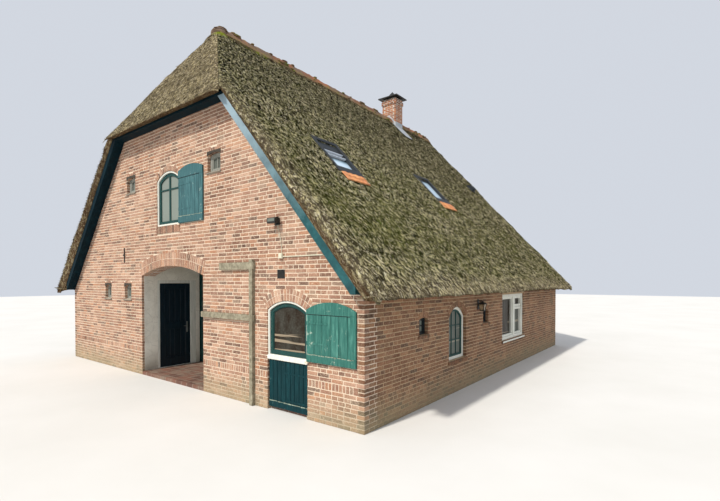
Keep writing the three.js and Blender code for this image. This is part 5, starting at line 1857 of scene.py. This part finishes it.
def junction_box():
    """A box with a screwed lid, a conduit to the verge board and a cable to the flood light."""
    shape = Shape(FRONT)
    shape.block((3.30, 2.415, 0.004), (3.38, 2.495, 0.044), 0.006)
    shape.block((3.306, 2.421, 0.043), (3.374, 2.489, 0.048), 0.003)
    for u, v in ((3.312, 2.427), (3.368, 2.483)):
        stud(shape, u, v, 0.048, 0.004, 0.0015)
    conduit = [(3.378, 2.445, 0.016), (3.8, 2.444, 0.014), (4.12, 2.446, 0.014), (4.22, 2.447, 0.016)]
    tube(shape, conduit, 0.008)
    cable = [(3.345, 2.49, 0.014), (3.343, 2.6, 0.012), (3.300, 2.80, 0.012), (3.262, 2.90, 0.012),
             (3.255, 2.945, 0.014)]
    tube(shape, cable, 0.0045, 6)
    shape.object("junction_box", "cream", "white_paint")


def build_wall_fittings():
    build_lantern()
    build_flood_light()
    wall_anchor()
    air_grille()
    junction_box()
    soften("climber_rails", 0.006)
    for node, look in (("climber_rails", "rail"), ("loft_floor", "wood"), ("recess_ceiling", "wood"),
                       ("recess_wall_right", "plaster"), ("ground_floor", "floor")):
        repaint(node, look)


def lintel(shape, opening, height, over, back, front):
    """A lintel with an arched underside over a small window."""
    low, high = opening.u - opening.half, opening.u + opening.half
    u = np.linspace(low, high, 7)
    top = opening.spring + opening.rise + height
    loops = []
    for w in (back, front - 0.003, front):
        c = 0.003 if w == front else 0
        under = list(zip(u, opening.head(u) + c))
        outline = [(low - over + c, opening.spring + c), *under, (high + over - c, opening.spring + c),
                   (high + over - c, top - c), (low - over + c, top - c)]
        loops.append([(a, v, w) for a, v in outline])
    shape.loft(loops)


def build_lintels():
    shape = Shape(FRONT)
    for opening in (*LOW_WINDOWS, *LOFT_WINDOWS):
        lintel(shape, opening, 0.04, 0.012, -0.055, 0.010)
    shape.object("front_lintels", "wood_dark", "old_wood")


# Looks of the paints, metals, tiles and timber
def wood_look(name, pale, dark, across=(3, 3, 60)):
    look = Look(name, Roughness=0.9)
    grain = look.noise(1.0, look.stretch(across), detail=5, roughness=0.7, distortion=0.3)
    look.base(grain, [(0.35, dark), (0.65, pale)])
    look.coat(look.mask(look.noise(2.5, detail=4), 0.5, 0.8), dark)
    look.bump(grain, 0.004)
    return look.done()


def metal_look(name, base, worn, roughness=0.45, metallic=0.2):
    look = Look(name, Metallic=metallic)
    patches = look.noise(9, detail=6, roughness=0.7)
    look.base(patches, [(0.4, base), (0.75, worn)])
    look.coat(look.mask(look.noise(60, detail=4), 0.6, 0.8), worn)
    look.rough(patches, roughness - 0.1, roughness + 0.25)
    look.bump(look.noise(120, detail=3), 0.0006)
    return look.done()


def tile_look(name, shades, moss, amount):
    """Fired clay or mortar under crusts of lichen, with moss over an amount of it."""
    look = Look(name, Roughness=0.9)
    look.base(look.attribute("tint"), shades)
    crust = look.noise(22, detail=6, roughness=0.75)
    look.coat(look.mask(crust, 0.48, 0.62), "7f6a55", blend=0.6)
    look.coat(look.mask(look.noise(70, detail=4), 0.62, 0.76), "cda884")
    growth = look.noise(6, detail=7, roughness=0.8)
    look.coat(look.mask(growth, 1 - amount, 1.06 - amount), moss)
    look.bump(crust, 0.012)
    look.bump(growth, 0.02, 0.6)
    return look.done()


def plaster_look(name, pale, dark):
    look = Look(name, Roughness=0.92)
    look.base(look.noise(2.2, detail=6, roughness=0.7), [(0.35, dark), (0.62, pale)])
    look.coat(look.mask(look.axis(2), 0.55, 0.05), "77715f", 0.55)
    cracks = look.node("TexVoronoi", {"Vector": look.place, "Scale": 5.0}, feature="DISTANCE_TO_EDGE")
    look.coat(look.mask(cracks.outputs["Distance"], 0.012, 0.0), "6f6a5e", 0.4)
    look.bump(look.noise(35, detail=5), 0.004)
    return look.done()


def floor_tile_look():
    look = Look("quarry_tile_look", Roughness=0.7)
    tiles = look.node("TexBrick", {
        "Vector": look.place, "Scale": 1.0, "Mortar Size": 0.006, "Brick Width": 0.2, "Row Height": 0.2,
        "Color1": "7a5140", "Color2": "5e4034", "Mortar": "9a9080"}, offset=0.0)
    look.colour = tiles.outputs["Color"]
    look.coat(look.mask(look.noise(6, detail=6), 0.45, 0.8), "8d8272")
    look.bump(look.calc("SUBTRACT", 1.0, tiles.outputs["Fac"]), 0.002)
    return look.done()


def amber_look():
    look = Look("amber_look", Roughness=0.2)
    look.base(look.noise(30, detail=3), [(0.3, "5a4632"), (0.7, "b09c7c")])
    return look.done()


def roof_glass_look():
    """Glass of a roof light: painted shade under the head and a painted sky reflection towards the foot."""
    look = Look("roof_glass_look", Roughness=0.08, Specular_IOR_Level=0.6)
    cloud = look.calc("SUBTRACT", look.noise(5, detail=4), 0.5)
    level = look.plus(look.attribute("tint"), look.times(cloud, 0.25))
    look.base(level, [(0.05, "131c22"), (0.3, "36474f"), (0.6, "93afc0"), (0.9, "c6dcee")])
    look.rough(look.noise(40, detail=4), 0.05, 0.25)
    return look.done()


def all_looks():
    return {
        "brick_front": brick_look("brick_front_look", FRONT_SHADES, "d9c3a8", "a8897a"),
        # Painted shade: the side bricks are darker, browner copies for the walls out of the sun
        "brick_side": brick_look("brick_side_look", SHADED_SIDE_SHADES, "bda98f", "8f7d74"),
        "mortar": mortar_look("mortar_look", "efdfc9", "bfa890"),
        # Painted shade: the side mortar is a browner copy for the walls out of the sun
        "shaded_side_mortar": mortar_look("side_mortar_look", "cbb18e", "967c5e"),
        "thatch": thatch_look("thatch_look", False),
        "hip_thatch": thatch_look("hip_thatch_look", True),
        "white": painted_look("white_paint_look", ("c9c9be", "dedfd5", "ebeae1"), "8f8c7b", 0.63, 0.5),
        "cream": painted_look("cream_paint_look", ("c6c2aa", "d4d0ba", "dfdbc8"), "a8a38c", 0.66, 0.5),
        # Painted shade: white frame paint greyed for the shade of deep reveals
        "shaded_frame": painted_look("shaded_white_frame_look", ("74756c", "8f9087", "a7a69b"), "6b675a", 0.62, 0.6),
        "sill": painted_look("sill_look", ("756c60", "8d8477", "a0978a"), "6f6a4c", 0.58, 0.8),
        "door": painted_look("door_paint_look", ("0a151c", "0e1f2a", "15303d"), "39464a", 0.72, 0.35),
        "half_door": painted_look("half_door_look", ("06262b", "0d373c", "1a5359"), "7f958c", 0.64,
                                  0.5, 9.0, 0.12),
        "leaf": painted_look("leaf_paint_look", ("0c2f2e", "13403c", "205a55"), "6f877c", 0.66, 0.5),
        "shutter": painted_look("shutter_paint_look", ("1c544b", "3a756a", "6ca596"), "a9b9a8", 0.61, 0.5),
        # The last colour of the board is a painted sky reflection
        "board": board_look("board_paint_look", ("0b3c40", "144b4f", "205c5f"), "7d9a90", "9cb0bb"),
        # Painted shade: a darker copy of the board paint for the boards out of the sun
        "board_shaded": painted_look("shaded_board_look", ("05161b", "08212a", "0f3038"), "3c5556", 0.70,
                                   0.5, 3.0, 0.08),
        "dark": painted_look("dark_paint_look", ("0c1416", "121d20", "1a2a2c"), "4b5552", 0.70, 0.3),
        "glass": window_look("window_glass_look", "2b221a", "8d978f"),
        "bare": painted_look("bare_edge_look", ("6f7d70", "98a392", "b9bcab"), "6d6a58", 0.55, 0.8),
        "upper_shutter": painted_look("upper_shutter_look", ("25494d", "3d6a6e", "618c8d"), "a9b5aa",
                                      0.60, 0.5),
        "roof_glass": roof_glass_look(),
        "plaster": plaster_look("plaster_look", "f0ecdf", "d6d1c3"),
        "steel": metal_look("steel_look", "9c9c98", "6a6862", 0.35, 0.7),
        "metal": metal_look("dark_metal_look", "1b1f20", "3d3a35", 0.45, 0.3),
        "sheet": metal_look("blue_sheet_look", "10161d", "232d36", 0.5, 0.1),
        "strip": metal_look("pale_strip_look", "b9c3cf", "dfe6ee", 0.45, 0.1),
        "lead": metal_look("lead_look", "9ea4a8", "c3c6c6", 0.5, 0.3),
        "wood": wood_look("old_wood_look", "8c8470", "5b5546"),
        "wood_dark": wood_look("dark_wood_look", "4a4236", "2b2620", (60, 60, 4)),
        "rail": wood_look("rail_wood_look", "a39c86", "6d6653", (14, 14, 14)),
        "ridge": tile_look("ridge_tile_look", [(0.0, "6f4530"), (0.4, "9a5f3a"), (0.7, "7b5f4a"), (1.0,
                           "66503f")],
                           "66682e", 0.42),
        "bedding": tile_look("bedding_look", [(0.0, "5c4634"), (0.4, "7d5f3a"), (0.8, "6f6238"), (1.0,
                             "6d7a26")],
                             "71771f", 0.46),
        "cap": tile_look("ridge_cap_look", [(0.0, "5a463e"), (1.0, "78644f")], "6c7430", 0.38),
        "apron": tile_look("apron_tile_look", [(0.0, "d08450"), (0.5, "eaa368"), (1.0, "d68c5e")],
                           "8a7440", 0.28),
        "chimney": brick_look("chimney_brick_look", [(0.0, "8a4a2c"), (0.3, "b5683c"), (0.6, "c57b48"),
                                                     (0.85, "a55c38"), (1.0, "6f4030")], "b9a084", "8a6a50"),
        "chimney_mortar": mortar_look("chimney_mortar_look", "b4a084", "8f7d64"),
        "floor": floor_tile_look(),
        "amber": amber_look(),
    }


# Camera, light and floor
def build_stage():
    camera = bpy.data.objects.new("camera", bpy.data.cameras.new("camera"))
    bpy.context.scene.collection.objects.link(camera)
    camera.location = (8.417, -9.707, 2.076)
    camera.rotation_euler = (math.radians(89.1), 0, math.radians(37.55))
    camera.data.lens = 21.585
    camera.data.sensor_width = 36
    camera.data.shift_y = 0.0508
    bpy.context.scene.camera = camera

    sun = bpy.data.objects.new("sun", bpy.data.lights.new("sun", "SUN"))
    bpy.context.scene.collection.objects.link(sun)
    sun.data.energy = 3.6
    sun.data.angle = math.radians(3.5)
    sun.data.color = (1.0, 0.955, 0.88)
    sun.rotation_euler = Vector((0.1, 1.0, -1.1)).to_track_quat("-Z", "Y").to_euler()

    world = bpy.data.worlds.new("studio")
    bpy.context.scene.world = world
    world.use_nodes = True
    sky = world.node_tree.nodes["Background"]
    sky.inputs["Color"].default_value = (0.86, 0.91, 1.0, 1)
    sky.inputs["Strength"].default_value = 0.75
    bpy.context.scene.view_settings.view_transform = "Standard"
    bpy.context.scene.view_settings.look = "None"

    floor_look = Look("floor_look", Roughness=0.8)
    floor_look.base(floor_look.noise(0.4, detail=4), [(0.3, "d5d3ce"), (0.7, "dcdad6")])
    mesh = bpy.data.meshes.new("floor")
    size = 60
    corners = [(-size, -size, 0), (size, -size, 0), (size, size, 0), (-size, size, 0)]
    mesh.from_pydata(corners, [], [(0, 1, 2, 3)])
    mesh.materials.append(floor_look.done())
    floor = bpy.data.objects.new("floor", mesh)
    bpy.context.scene.collection.objects.link(floor)
    floor.location.z = -0.002


build_stage()
LOOKS.update(all_looks())
build_walls()
build_thatch()
build_windows()
stable_window()
upper_window()
build_shutters()
build_stable_leaf()
build_recess()
build_ridge()
build_chimney()
build_boards()
build_roof_fittings()
build_wall_fittings()
build_lintels()
